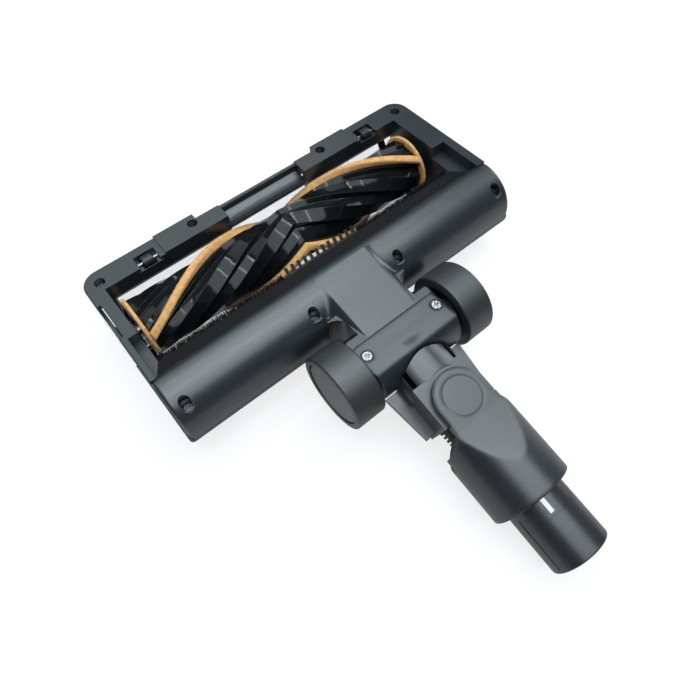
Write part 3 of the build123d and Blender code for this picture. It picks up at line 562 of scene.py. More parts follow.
@dataclass(frozen=True)
class Finish:
    """A procedural finish: a colour that shifts a little, a roughness range and a fine relief.

    Scales are per metre. The relief's depth, the soft edge's radius and the clear span,
    the stretch of X over which a clear finish stays clear, are in metres.
    """

    name: str
    colour: Colour
    shade: Colour
    rough_low: float
    rough_high: float
    grain_scale: float = 3000.0
    mottle_scale: float = 25.0
    relief: float = 0.00003
    relief_strength: float = 0.35
    metallic: float = 0.0
    specular: float = 0.5
    sheen: float = 0.0
    alpha: float = 1.0
    drawn: bool = False
    soft_edge: float = 0.0
    clear_span: Pair | None = None

    MOTTLE_SPAN = (0.3, 0.62)
    SHEEN_ROUGHNESS = 0.45
    FRAME_BLACK = (0.008, 0.008, 0.009)

    def material(self, groups: dict[str, Tree]) -> Material:
        """Build the material.

        Args:
            groups: the shared node groups by name.

        Returns:
            The material, ready to be given to a piece.
        """
        made = bpy.data.materials.new(self.name)
        made.use_nodes = True
        sheet = NodeSheet(made.node_tree)
        surface = sheet.add("ShaderNodeBsdfPrincipled", Metallic=self.metallic, Alpha=self.alpha,
                            Specular_IOR_Level=self.specular, Sheen_Weight=self.sheen)
        if self.sheen > 0:
            surface.inputs["Sheen Roughness"].default_value = self.SHEEN_ROUGHNESS
            surface.inputs["Sheen Tint"].default_value = (*self.colour, 1.0)
        texture = sheet.add("ShaderNodeGroup")
        texture.node_tree = groups["drawn_lines" if self.drawn else "moulded_grain"]
        texture.inputs[0].default_value = self.grain_scale
        texture.inputs[1].default_value = self.mottle_scale
        mottle = texture.outputs["Mottle"]
        tint = sheet.ramp(mottle, self.shade, self.colour, self.MOTTLE_SPAN)
        sheet.join(tint, surface.inputs["Base Color"])
        spread = self.rough_high - self.rough_low
        rough = sheet.math("ADD", sheet.math("MULTIPLY", mottle, spread), self.rough_low)
        sheet.join(rough, surface.inputs["Roughness"])
        if self.relief > 0:
            self.raise_relief(sheet, surface, texture.outputs["Height"])
        if self.clear_span is not None:
            self.frame_ends(sheet, surface, groups["span_mask"])
        output = sheet.add("ShaderNodeOutputMaterial")
        sheet.join(surface.outputs["BSDF"], output.inputs["Surface"])
        return made

    def raise_relief(self, sheet: NodeSheet, surface: Node, height: Socket) -> None:
        """Turn a height into bump, on rounded edges where the finish has them.

        Args:
            sheet: the material's nodes.
            surface: its surface shader.
            height: the relief's height, between 0 and 1.
        """
        bump = sheet.add("ShaderNodeBump", Strength=self.relief_strength, Distance=self.relief)
        sheet.join(height, bump.inputs["Height"])
        sheet.join(bump.outputs["Normal"], surface.inputs["Normal"])
        if self.soft_edge > 0:
            edge = sheet.add("ShaderNodeBevel", samples=4, Radius=self.soft_edge)
            sheet.join(edge.outputs["Normal"], bump.inputs["Normal"])

    def frame_ends(self, sheet: NodeSheet, surface: Node, tree: Tree) -> None:
        """Make a clear finish opaque and black in the frame at both ends of its clear span.

        Args:
            sheet: the material's nodes.
            surface: its surface shader.
            tree: the group that masks a span along X.
        """
        span = sheet.add("ShaderNodeGroup")
        span.node_tree = tree
        for socket, limit in zip(span.inputs, self.clear_span):
            socket.default_value = limit
        outside = span.outputs["Outside"]
        cover = sheet.math("MULTIPLY_ADD", outside, 1.0 - self.alpha, self.alpha)
        sheet.join(cover, surface.inputs["Alpha"])
        sheet.join(sheet.ramp(outside, self.colour, self.FRAME_BLACK), surface.inputs["Base Color"])


# Colours that several finishes share

CHARCOAL = (0.012, 0.018, 0.023)
CHARCOAL_SHADE = (0.010, 0.015, 0.020)
NECK_CHARCOAL = (0.013, 0.016, 0.021)
NECK_SHADE = (0.011, 0.014, 0.018)


class Coat(Enum):
    """The finishes of this head, by what they cover."""

    HOUSING = Finish("charcoal_housing", CHARCOAL, CHARCOAL_SHADE, 0.29, 0.37,
                     specular=1.0, soft_edge=0.0002)
    CAP = Finish("charcoal_cap", CHARCOAL, CHARCOAL_SHADE, 0.29, 0.37, specular=1.0, soft_edge=0.003)
    COVER = Finish("charcoal_cover", (0.013, 0.018, 0.023), CHARCOAL_SHADE, 0.32, 0.40,
                   specular=0.6, soft_edge=0.0002)
    NECK = Finish("charcoal_neck", NECK_CHARCOAL, NECK_SHADE, 0.30, 0.37, specular=1.0, soft_edge=0.0002)
    SLEEVE = Finish("charcoal_sleeve", NECK_CHARCOAL, NECK_SHADE, 0.30, 0.37,
                    specular=1.0, soft_edge=0.0035)
    WHEEL = Finish("wheel_grey", (0.032, 0.036, 0.041), (0.028, 0.031, 0.036), 0.34, 0.46,
                   specular=0.9, soft_edge=0.0003)
    HUB = Finish("hub_disc", (0.135, 0.135, 0.145), (0.125, 0.126, 0.136), 0.42, 0.55)
    TYRE = Finish("soft_tread", (0.020, 0.023, 0.025), (0.017, 0.020, 0.022), 0.38, 0.50,
                  grain_scale=2200.0, specular=0.95, soft_edge=0.0003)
    BLACK = Finish("black_plastic", (0.012, 0.012, 0.014), (0.008, 0.008, 0.010), 0.30, 0.45)
    CORE = Finish("polished_core", (0.006, 0.008, 0.009), (0.004, 0.005, 0.006), 0.07, 0.14,
                  mottle_scale=60.0, relief=0.00001, relief_strength=0.1, specular=0.3, soft_edge=0.0006)
    COMB = Finish("comb_plastic", (0.014, 0.015, 0.018), (0.010, 0.011, 0.013), 0.35, 0.5)
    PLUSH = Finish("tan_plush", (0.80, 0.46, 0.19), (0.60, 0.32, 0.12), 0.85, 0.98, grain_scale=2600.0,
                   mottle_scale=420.0, relief=0.0004, relief_strength=0.8, specular=0.2, sheen=0.5)
    FIBRE = Finish("tan_fibre", (0.92, 0.58, 0.27), (0.66, 0.38, 0.15), 0.75, 0.95, mottle_scale=900.0,
                   relief=0.0, specular=0.25, sheen=0.4)
    BRISTLE = Finish("black_bristle", (0.010, 0.010, 0.011), (0.006, 0.006, 0.007), 0.55, 0.75,
                     mottle_scale=1400.0, relief=0.0, specular=0.2)
    STEEL = Finish("bright_steel", (0.34, 0.34, 0.35), (0.24, 0.24, 0.25), 0.20, 0.34, grain_scale=1800.0,
                   mottle_scale=400.0, relief=0.00001, metallic=1.0, drawn=True)
    CONTACT = Finish("plated_contact", (0.40, 0.40, 0.40), (0.32, 0.32, 0.32), 0.16, 0.28,
                     grain_scale=1800.0, mottle_scale=300.0, relief=0.00001, metallic=1.0, drawn=True)
    MOTOR = Finish("motor_can", (0.42, 0.42, 0.43), (0.34, 0.34, 0.35), 0.25, 0.4, grain_scale=1500.0,
                   relief=0.00002, metallic=1.0, drawn=True)
    RUBBER = Finish("black_rubber", (0.016, 0.016, 0.017), (0.011, 0.011, 0.012), 0.38, 0.55,
                    grain_scale=1800.0)
    PULLEY = Finish("pale_pulley", (0.66, 0.65, 0.61), (0.60, 0.59, 0.55), 0.35, 0.5)
    BOARD = Finish("green_board", (0.018, 0.13, 0.055), (0.012, 0.10, 0.040), 0.25, 0.4)
    LEAD = Finish("dark_lead", (0.030, 0.030, 0.034), (0.022, 0.022, 0.026), 0.35, 0.5)
    WINDOW = Finish("clear_window", (0.90, 0.92, 0.93), (0.88, 0.90, 0.92), 0.03, 0.06, relief=0.0,
                    alpha=0.13, clear_span=(-0.1118, 0.1030))
    # painted shade: a matt black that stands in for the shadow in the channel behind the roll
    CHANNEL_SHADE = Finish("channel_painted_shade", (0.006, 0.006, 0.007), (0.004, 0.004, 0.005), 0.55, 0.7,
                     specular=0.15)


NODE_COATS: dict[Coat, tuple[str, ...]] = {
    Coat.HOUSING: ("sole_housing",),
    Coat.CAP: ("axle_cap",),
    Coat.COVER: ("top_cover",),
    Coat.SLEEVE: ("sleeve",),
    Coat.NECK: ("elbow_shell", "elbow_hood", "upper_boss_cap", "lower_boss_cap", "connector_tube",
                "contact_carrier"),
    Coat.WHEEL: ("left_wheel_body", "right_wheel_body"),
    Coat.HUB: ("left_wheel_cap", "right_wheel_cap"),
    Coat.TYRE: ("left_tyre", "right_tyre"),
    Coat.BLACK: ("motor_bracket", "belt_cover", "end_plug", "drive_dog",
                 "left_front_roller", "right_front_roller"),
    Coat.CORE: ("brush_core",),
    Coat.COMB: ("comb_guard",),
    Coat.PLUSH: ("plush_strips", "end_rings"),
    Coat.BRISTLE: ("bristle_strips",),
    Coat.STEEL: ("motor_screws", "motor_shaft", "roll_shaft", "housing_screws", "cap_screws", "hood_screw",
                 "front_roller_pins", "wheel_axles", "axle_clips", "knuckle_pins", "end_bearing",
                 "pulley_bearing"),
    Coat.CONTACT: ("contact_blades",),
    Coat.MOTOR: ("drive_motor",),
    Coat.RUBBER: ("bellows_hose", "seal_ring", "drive_belt"),
    Coat.PULLEY: ("motor_pulley", "roll_pulley"),
    Coat.BOARD: ("control_board",),
    Coat.LEAD: ("motor_leads",),
    Coat.WINDOW: ("clear_window",),
}


class Wardrobe:
    """Holds the shared node groups and one material for each finish.

    SHELF_Y and SHELF_Z bound the shelf behind the roll, where shade is painted black, in the head's own
    frame.
    """

    SHELF_Y = (-72.7, -62.8)
    SHELF_Z = (-10.5, -7.8)

    def __init__(self) -> None:
        """Build the shared groups; materials are made when first asked for."""
        self.groups = {"moulded_grain": moulded_grain_group(), "drawn_lines": drawn_lines_group(),
                       "span_mask": span_mask_group()}
        self.made: dict[Coat, Material] = {}

    def material(self, coat: Coat) -> Material:
        """Give the material of a finish, built when first asked for.

        Args:
            coat: the finish.

        Returns:
            Its material.
        """
        if coat not in self.made:
            self.made[coat] = coat.value.material(self.groups)
        return self.made[coat]

    def dress(self, piece: Object, coat: Coat) -> None:
        """Give a piece one finish all over."""
        piece.data.materials.clear()
        piece.data.materials.append(self.material(coat))

    def paint_channel_shade(self, housing: Object, head: HeadFrame) -> None:
        """Paint the shadow on the shelf behind the roll, under the bristles, as a matt black finish.

        Args:
            housing: the sole housing, already dressed.
            head: the head's frame, in which the shelf's place is known.
        """
        housing.data.materials.append(self.material(Coat.CHANNEL_SHADE))
        centres = np.array([housing.matrix_world @ face.center for face in housing.data.polygons])
        _, y, z = head.read(centres).T
        spans = ((y, self.SHELF_Y), (z, self.SHELF_Z))
        shelf = np.all([(value > low) & (value < high) for value, (low, high) in spans], axis=0)
        # painted shade: the shelf's faces take the black finish that stands in for their shadow
        housing.data.polygons.foreach_set("material_index", shelf.astype(int))
        log.info("%s: %d faces of the channel are black", housing.name, int(shelf.sum()))

    def dress_nodes(self, nodes: dict[str, Object]) -> None:
        """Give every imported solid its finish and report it.

        Args:
            nodes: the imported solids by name.
        """
        for coat, names in NODE_COATS.items():
            for name in names:
                self.dress(nodes[name], coat)
                log.info("dressed %s in %s", name, coat.value.name)


# Brush roll

@dataclass
class BrushRoll:
    """Pile of the brush roll: two V-shaped plush strips, two end rings and their fibres.

    Sizes are in millimetres, and an r in a name is a radius about the roll's axis. A
    power below one squares a section's corners. A pace is millimetres of unevenness for
    a radian, along the loop or round the roll. A strip's surface is even below its flank
    foot, and its hairs stand over the piled stretch of the loop. A ring's hairs lean by
    millimetres along the roll and by radians round it.
    """

    head: HeadFrame
    wardrobe: Wardrobe
    x_left: float = -109.3
    x_right: float = 100.3
    ring_left: Pair = (-112.0, -109.4)
    ring_right: Pair = (100.4, 103.0)
    base_r: float = 17.2
    crown_r: float = 22.2
    ring_base_r: float = 14.7
    ring_crown_r: float = 20.1
    width: float = 5.0
    twist: float = math.radians(1.52)
    phase: float = math.radians(-16.0)
    side_power: float = 0.55
    top_power: float = 0.6
    top_spread: float = 0.10
    ring_fill: float = 0.9
    strip_unevenness: float = 0.14
    ring_unevenness: float = 0.10
    strip_pace: float = 2.2
    ring_paces: Pair = (16.0, 2.0)
    flank_foot: float = -0.2
    stations: int = 260
    around: int = 36
    ring_stations: int = 160
    ring_around: int = 20
    fibres_per_strip: int = 15000
    fibres_per_ring: int = 2600
    fibre_length: Pair = (0.35, 0.9)
    ring_fibre_length: Pair = (0.3, 0.8)
    fibre_width: float = 0.045
    fibre_inset: float = 0.2
    root_depth: float = 0.12
    ring_root_depth: float = 0.15
    fibre_reach: float = 0.9
    fibre_lean: float = 0.33
    ring_lean: Pair = (0.15, 0.012)
    piled: Pair = (math.radians(-10), math.radians(190))
    rng: np.random.Generator = field(default_factory=lambda: np.random.default_rng(SEED))

    def around_axis(self, x: np.ndarray, radius: np.ndarray, angle: np.ndarray) -> np.ndarray:
        """Find points at a radius and angle about the roll's axis.

        Args:
            x: places along the roll.
            radius: distances from the axis.
            angle: angles from +Y to +Z.

        Returns:
            The points in the head's own frame.
        """
        y, z = HeadFrame.ROLL
        x, radius, angle = np.broadcast_arrays(x, radius, angle)
        return np.stack([x, y + radius * np.cos(angle), z + radius * np.sin(angle)], axis=-1)

    def crown(self, turn: np.ndarray) -> tuple[np.ndarray, np.ndarray]:
        """Section of the pile at a turn of its loop, a rounded box that spreads at its top.

        The offset is the cosine and the height the sine of the turn, each widened, and
        the offset grows with the height.

        Args:
            turn: angles round the loop.

        Returns:
            Offset across the strip and height, both from about -1 to 1.
        """
        across = widened(np.cos(turn), self.side_power)
        height = widened(np.sin(turn), self.top_power)
        return across * (1.0 + self.top_spread * height), height

    def strip_points(self, x: np.ndarray, turn: np.ndarray, half_turn: float,
                     grow: float | np.ndarray = 0.0) -> np.ndarray:
        """Points of a plush strip.

        The strip's middle follows the angle phase + half turn + twist times the distance
        from mid length, and the section is laid across it at each place.

        Args:
            x: places along the roll.
            turn: angles round the section's loop.
            half_turn: 0 for the first strip and pi for the second.
            grow: extra size of the section.

        Returns:
            The points in the head's own frame.
        """
        across, height = self.crown(turn)
        middle = 0.5 * (self.base_r + self.crown_r)
        tall = 0.5 * (self.crown_r - self.base_r) + grow
        radius = middle + height * tall
        sideways = across * (0.5 * self.width + grow)
        angle = self.phase + half_turn + self.twist * np.abs(x) + np.arctan2(sideways, radius)
        return self.around_axis(x, np.hypot(radius, sideways), angle)

    def strip(self, name: str, half_turn: float) -> Object:
        """One plush strip from end ring to end ring, its crown and flanks gently uneven.

        Args:
            name: the piece's name.
            half_turn: 0 for the first strip and pi for the second.

        Returns:
            The strip.
        """
        x = np.linspace(self.x_left, self.x_right, self.stations)[:, None]
        x, turn = np.broadcast_arrays(x, full_turn(self.around))
        uneven = ripple(x, turn * self.strip_pace, self.rng) * (np.sin(turn) > self.flank_foot)
        points = self.strip_points(x, turn, half_turn, self.strip_unevenness * uneven)
        return capped_tube(name, self.head.place(points))

    def strip_fibres(self, name: str, half_turn: float) -> Object:
        """Short hairs all over the crown and flanks of one strip, leaning at random.

        A hair starts just under the surface and follows the direction in which the
        section grows, bent aside by a random lean.

        Args:
            name: the piece's name.
            half_turn: 0 for the first strip and pi for the second.

        Returns:
            The hairs.
        """
        count = self.fibres_per_strip
        x = self.rng.uniform(self.x_left + self.fibre_inset, self.x_right - self.fibre_inset, count)
        turn = self.rng.uniform(*self.piled, count)
        root = self.strip_points(x, turn, half_turn, -self.root_depth)
        out = self.strip_points(x, turn, half_turn, self.fibre_reach) - root
        out /= np.linalg.norm(out, axis=1, keepdims=True)
        direction = out + self.rng.normal(0, self.fibre_lean, (count, 3))
        length = self.rng.uniform(*self.fibre_length, count)[:, None]
        direction /= np.linalg.norm(direction, axis=1, keepdims=True)
        tip = root + direction * length
        return fibre_mesh(name, self.head.place(root), self.head.place(tip), self.fibre_width * MM)

    def ring(self, name: str, limits: Pair) -> Object:
        """An end ring: a rounded section carried once round the roll's axis.

        Args:
            name: the piece's name.
            limits: where the ring starts and ends along the roll.

        Returns:
            The ring.
        """
        sweep = full_turn(self.ring_stations)[:, None]
        sweep, turn = np.broadcast_arrays(sweep, full_turn(self.ring_around))
        across, height = self.crown(turn)
        x = 0.5 * (limits[0] + limits[1]) + across * 0.5 * self.ring_fill * (limits[1] - limits[0])
        radius = 0.5 * (self.ring_base_r + self.ring_crown_r)
        radius = radius + height * 0.5 * (self.ring_crown_r - self.ring_base_r)
        sweep_pace, turn_pace = self.ring_paces
        radius = radius + self.ring_unevenness * ripple(sweep * sweep_pace, turn * turn_pace, self.rng)
        points = self.head.place(self.around_axis(x, radius, sweep)).reshape(-1, 3)
        return new_mesh(name, points, tube_faces(self.ring_stations, self.ring_around, closed=True))

    def ring_fibres(self, name: str, limits: Pair) -> Object:
        """Short hairs on the rim of an end ring, leaning along and round it at random.

        Args:
            name: the piece's name.
            limits: where the ring starts and ends along the roll.

        Returns:
            The hairs.
        """
        count = self.fibres_per_ring
        x = self.rng.uniform(limits[0] + self.fibre_inset, limits[1] - self.fibre_inset, count)
        angle = self.rng.uniform(0, 2 * math.pi, count)
        root_r = self.ring_crown_r - self.ring_root_depth
        tip_r = root_r + self.rng.uniform(*self.ring_fibre_length, count)
        root = self.around_axis(x, root_r, angle)
        along, aside = (self.rng.normal(0, lean, count) for lean in self.ring_lean)
        tip = self.around_axis(x + along, tip_r, angle + aside)
        return fibre_mesh(name, self.head.place(root), self.head.place(tip), self.fibre_width * MM)

    def build(self) -> None:
        """Make all pieces of the pile, dress them and fasten them to the roll."""
        built = []
        for side, half_turn in (("front", 0.0), ("rear", math.pi)):
            strip = self.strip(f"plush_strip_{side}", half_turn)
            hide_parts("plush_strips")
            hairs = self.strip_fibres(f"plush_fibres_{side}", half_turn)
            built += [(strip, Coat.PLUSH), (hairs, Coat.FIBRE)]
        for side, limits in (("left", self.ring_left), ("right", self.ring_right)):
            ring = self.ring(f"plush_ring_{side}", limits)
            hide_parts("end_rings")
            hairs = self.ring_fibres(f"ring_fibres_{side}", limits)
            built += [(ring, Coat.PLUSH), (hairs, Coat.FIBRE)]
        for piece, coat in built:
            self.wardrobe.dress(piece, coat)
            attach(piece, "brush_roll")
            log.info("%s: %d faces", piece.name, len(piece.data.polygons))


# Bristle strips

@dataclass
class BristleRow:
    """Rear bristle strip: a holder with tufts of single bristles that lean to the roll.

    Sizes are in millimetres. A pair is a Y and Z of the head's own frame, apart from the
    runs, which are stretches of X, and the spans of a random draw.
    """

    head: HeadFrame
    wardrobe: Wardrobe
    runs: tuple[Pair, ...] = ((-114.4, -28.2), (28.2, 107.4))
    root: Pair = (-62.2, -13.0)
    knee: Pair = (-61.3, -9.6)
    tip: Pair = (-58.9, -6.2)
    pitch: float = 1.5
    first_gap: float = 0.8
    last_gap: float = 0.6
    bristles_per_tuft: int = 30
    radius: float = 0.12
    tapers: tuple[float, ...] = (1.0, 0.95, 0.55)
    section_tilt: float = 0.4
    depth_spread: float = 0.35
    reach_span: Pair = (0.35, 1.0)
    edge_loss: float = 0.7
    sway: float = 0.10
    gather: float = 0.15
    holder_middle: Pair = (-62.12, -12.2)
    holder_half: Pair = (0.8, 1.25)
    holder_power: float = 0.35
    holder_stations: int = 12
    holder_around: int = 24
    rng: np.random.Generator = field(default_factory=lambda: np.random.default_rng(SEED + 1))

    def tuft_roots(self, run: Pair) -> tuple[np.ndarray, np.ndarray]:
        """Places of the bristles along one run, spread evenly about their tufts' middles.

        Args:
            run: where the run starts and ends along X.

        Returns:
            Each bristle's place, and the middle of its tuft.
        """
        tufts = np.arange(run[0] + self.first_gap, run[1] - self.last_gap, self.pitch)
        middle = np.repeat(tufts, self.bristles_per_tuft)
        spread = self.rng.uniform(-0.5, 0.5, len(middle)) * self.pitch
        return middle + spread, middle

    def bristle_points(self, run: Pair) -> np.ndarray:
        """Middle lines of all bristles of a run, as root, knee, and tip.

        Each bristle leaves its root upright, bends forward at the knee and closes in on
        its tuft's middle. Its reach past the knee is random and falls with its distance
        from that middle, so that the edge is ragged.

        Args:
            run: where the run starts and ends along X.

        Returns:
            Array of bristles, the three points of each, and coordinates.
        """
        x, middle = self.tuft_roots(run)
        count = len(x)
        depth = self.rng.uniform(-self.depth_spread, self.depth_spread, count)
        away = np.abs(x - middle) / self.pitch
        reach = self.rng.uniform(*self.reach_span, count) * (1.0 - self.edge_loss * away)
        sway = self.rng.normal(0, self.sway, count)
        root = np.stack([x, self.root[0] + depth, np.full(count, self.root[1])], axis=1)
        knee = np.stack([x, self.knee[0] + depth, np.full(count, self.knee[1])], axis=1)
        tip = np.stack([x + self.gather * (middle - x) + sway,
                        knee[:, 1] + (self.tip[0] - self.knee[0]) * reach,
                        knee[:, 2] + (self.tip[1] - self.knee[1]) * reach], axis=1)
        return np.stack([root, knee, tip], axis=1)

    def bristles(self, name: str, run: Pair) -> Object:
        """All bristles of a run as slender closed three-sided tubes, narrowed at the tip.

        Args:
            name: the piece's name.
            run: where the run starts and ends along X.

        Returns:
            The bristles.
        """
        lines = self.bristle_points(run)
        sides = []
        for level, taper in enumerate(self.tapers):
            for turn in THIRDS:
                offset = np.array([math.cos(turn), math.sin(turn), self.section_tilt * math.sin(turn)])
                sides.append(lines[:, level] + offset * self.radius * taper)
        points = self.head.place(np.stack(sides, axis=1).reshape(-1, 3))
        quads = np.array([[0, 1, 4, 3], [1, 2, 5, 4], [2, 0, 3, 5],
                          [3, 4, 7, 6], [4, 5, 8, 7], [5, 3, 6, 8]])
        ends = np.array([[2, 1, 0], [6, 7, 8]])
        first = (np.arange(len(lines)) * len(sides))[:, None, None]
        return new_mesh(name, points, (quads + first).reshape(-1, 4), (ends + first).reshape(-1, 3),
                        smooth=False)

    def holder(self, name: str, run: Pair) -> Object:
        """The strip that grips the bristles: a bar of rounded square section against the lip.

        Args:
            name: the piece's name.
            run: where the run starts and ends along X.

        Returns:
            The holder.
        """
        x = np.linspace(run[0], run[1], self.holder_stations)[:, None]
        turn = full_turn(self.holder_around)
        y = self.holder_middle[0] + self.holder_half[0] * widened(np.cos(turn), self.holder_power)
        z = self.holder_middle[1] + self.holder_half[1] * widened(np.sin(turn), self.holder_power)
        points = np.stack(np.broadcast_arrays(x, y, z), axis=-1)
        return capped_tube(name, self.head.place(points))

    def build(self) -> None:
        """Make holders and bristles, dress them and fasten them to the head."""
        for side, run in zip(("left", "right"), self.runs):
            pieces = [self.holder(f"bristle_holder_{side}", run), self.bristles(f"bristles_{side}", run)]
            for piece in pieces:
                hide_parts("bristle_strips")
                self.wardrobe.dress(piece, Coat.BRISTLE)
                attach(piece, "head")
                log.info("%s: %d faces", piece.name, len(piece.data.polygons))


# Moulded forms that the solids leave plain

@dataclass
class BridgeSaddle:
    """Soft rise of the bridge, from the seam of the axle cap to the crest of the half-barrel.

    The surface is the higher of two forms, blended where they meet: the barrel, and a
    slope tangent to it whose shoulders fall away. Where neither stands out it runs just
    inside the housing, so that the two show as one moulding. Sizes are in millimetres.
    """

    head: HeadFrame
    wardrobe: Wardrobe
    barrel_y: float = -80.0
    barrel_z: float = -25.0
    barrel_r: float = 24.5
    seam_y: float = -126.35
    seam_z: float = -8.5
    half: float = 21.0
    flare_r: float = 8.0
    flank_rise: float = 0.08
    flank_front: float = 1.2
    flank_fall: float = 0.9
    flare_share: float = 0.7
    side_fall: float = 4.0
    top_half: float = 17.5
    shoulder: float = 1.1
    shoulder_round: float = 2.2
    blend: float = 3.2
    sink: float = 0.035
    skirt: float = 1.2
    crest_gap: float = 1.0
    side_gap: float = 0.05
    far_below: float = -60.0
    rows: int = 130
    columns: int = 121

    @property
    def rear(self) -> float:
        """Y of the barrel's rear edge."""
        return self.barrel_y - self.barrel_r

    def slope(self, y: np.ndarray) -> np.ndarray:
        """Height of the line from the seam that touches the barrel.

        Its rise is the angle down to the barrel's axis plus the angle between that
        sight line and the tangent.

        Args:
            y: places from rear to front.

        Returns:
            The line's height at each place.
        """
        back = self.barrel_y - self.seam_y
        below = self.barrel_z - self.seam_z
        rise = math.asin(self.barrel_r / math.hypot(back, below)) + math.atan2(below, back)
        return self.seam_z + (y - self.seam_y) * math.tan(rise)

    def barrel(self, y: np.ndarray) -> np.ndarray:
        """Height of the barrel's circle, and far below where it has ended."""
        inside = self.barrel_r ** 2 - (y - self.barrel_y) ** 2
        return np.where(inside > 0, self.barrel_z + np.sqrt(np.maximum(inside, 0)), self.far_below)

    def flank(self, x: np.ndarray, y: np.ndarray) -> np.ndarray:
        """Height of the flared flanks: level over the flare, then falling to the barrel and aside.

        Args:
            x: places across the bridge.
            y: places from rear to front.

        Returns:
            The flanks' height at each place.
        """
        past = np.maximum(y - (self.rear + self.flank_front), 0)
        past = past + np.maximum(self.rear - self.flare_r - y, 0)
        beyond = np.maximum(np.abs(x) - (self.half + self.flare_share * self.flare_r), 0)
        return self.seam_z + self.flank_rise - self.flank_fall * past - self.side_fall * beyond

    def reach(self, y: np.ndarray) -> np.ndarray:
        """Half-width of the housing under the saddle: the bridge, then a quarter round of flare."""
        inside = np.clip(y - (self.rear - self.flare_r), 0, self.flare_r)
        return self.half + self.flare_r - np.sqrt(self.flare_r ** 2 - inside ** 2)

    def height(self, x: np.ndarray, y: np.ndarray) -> np.ndarray:
        """Height of the blended surface.

        The slope falls past its top width along a hyperbola. Where slope and barrel
        differ by less than the blend, the higher of the two is raised by a quarter of
        the blend times the square of their nearness.

        Args:
            x: places across the bridge.
            y: places from rear to front.

        Returns:
            The surface's height at each place.
        """
        beyond = np.maximum(np.abs(x) - self.top_half, 0)
        fall = np.sqrt(beyond ** 2 + self.shoulder_round) - math.sqrt(self.shoulder_round)
        top = self.slope(y) - self.shoulder * fall
        barrel = self.barrel(y)
        near = np.maximum(self.blend - np.abs(top - barrel), 0) / self.blend
        body = np.maximum(top, barrel) + near ** 2 * self.blend / 4
        return np.maximum(body, self.flank(x, y)) - self.sink

    def build(self) -> None:
        """Make the saddle with a skirt down each side, dress it and fasten it to the head."""
        y = np.linspace(self.seam_y, self.barrel_y - self.crest_gap, self.rows)[:, None]
        x = np.linspace(-1, 1, self.columns) * (self.reach(y) - self.side_gap)
        y = np.broadcast_to(y, x.shape)
        surface = np.stack([x, y, self.height(x, y)], axis=-1)
        edges = surface[:, [0, -1]] - np.array([0.0, 0.0, self.skirt])
        points = np.concatenate([edges[:, :1], surface, edges[:, 1:]], axis=1)
        faces = sheet_faces(*points.shape[:2])
        piece = new_mesh("bridge_saddle", self.head.place(points.reshape(-1, 3)), faces)
        self.wardrobe.dress(piece, Coat.HOUSING)
        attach(piece, "head")
        log.info("%s: %d faces", piece.name, len(piece.data.polygons))


@dataclass
class HoodLedge:
    """Ledge that closes the hood against the elbow, a little below the hood's rim.

    Each half is a thin plate from the elbow's side to the hood's wall, sunk into both.
    Sizes are in millimetres in the neck's own axes, and an s is a distance behind the
    wheels' axis.
    """

    head: HeadFrame
    wardrobe: Wardrobe
    near_s: float = 20.9
    far_s: float = 51.9
    wall_near: float = 27.6
    wall_far: float = 24.5
    inner: float = 18.4
    top: float = -1.7
    thick: float = 1.6
    stations: int = 40

    def half(self, name: str, side: float) -> Object:
        """One plate of the ledge: a box section carried along the neck, its outer side on the wall.

        Args:
            name: the piece's name.
            side: -1 for the left of the elbow and 1 for the right.

        Returns:
            The plate.
        """
        s = np.linspace(self.near_s, self.far_s, self.stations)
        outer = np.linspace(self.wall_near, self.wall_far, self.stations)
        inner = np.full(self.stations, self.inner)
        low = self.top - self.thick
        across = np.stack([inner, outer, outer, inner], axis=1) * side
        high = np.array([self.top, self.top, low, low])
        ring = np.stack(np.broadcast_arrays(across, s[:, None], high), axis=-1)
        return capped_tube(name, self.head.place_neck(ring), flip=side < 0, smooth=False)

    def build(self) -> None:
        """Make both plates, dress them and fasten them to the elbow."""
        for name, side in (("hood_ledge_left", -1.0), ("hood_ledge_right", 1.0)):
            piece = self.half(name, side)
            self.wardrobe.dress(piece, Coat.NECK)
            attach(piece, "elbow")
            log.info("%s: %d faces", piece.name, len(piece.data.polygons))


@dataclass
class BellowsHose:
    """The corrugated hose, which runs from the elbow to the sleeve.

    The bend's start and end are distances behind the wheels' axis, in millimetres.
    """

    head: HeadFrame
    wardrobe: Wardrobe
    bend_start: float = 50.5
    bend_end: float = 68.0

    def build(self, solid: Object) -> None:
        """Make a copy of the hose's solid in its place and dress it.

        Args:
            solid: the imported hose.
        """
        mesh = solid.data.copy()
        mesh.transform(solid.matrix_world)
        hose = link("corrugated_hose", mesh)
        self.wardrobe.dress(hose, Coat.RUBBER)
        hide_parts("bellows_hose")
        ends = self.head.place_neck(np.array([[0.0, self.bend_start, 0.0], [0.0, self.bend_end, 0.0]]))
        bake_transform(hose)
        log.info("%s: %d faces", hose.name, len(mesh.polygons))


# Table, light and camera

@dataclass(frozen=True)
class Lamp:
    """A soft rectangular lamp of cool daylight, in metres and watts."""

    name: str
    place: Place
    aim: Place
    size: Pair
    power: float

    DAYLIGHT = (0.86, 0.96, 1.0)

    def hang(self) -> None:
        """Hang the lamp at its place and turn its face to its aim."""
        light = bpy.data.lights.new(self.name, "AREA")
        light.shape = "RECTANGLE"
        light.size, light.size_y = self.size
        light.energy = self.power
        light.color = self.DAYLIGHT
        forward = np.array(self.aim) - np.array(self.place)
        forward /= np.linalg.norm(forward)
        side = np.cross(forward, [0.0, 1.0, 0.0])
        side /= np.linalg.norm(side)
        stand(link(self.name, light), self.place, side, np.cross(side, forward), -forward)


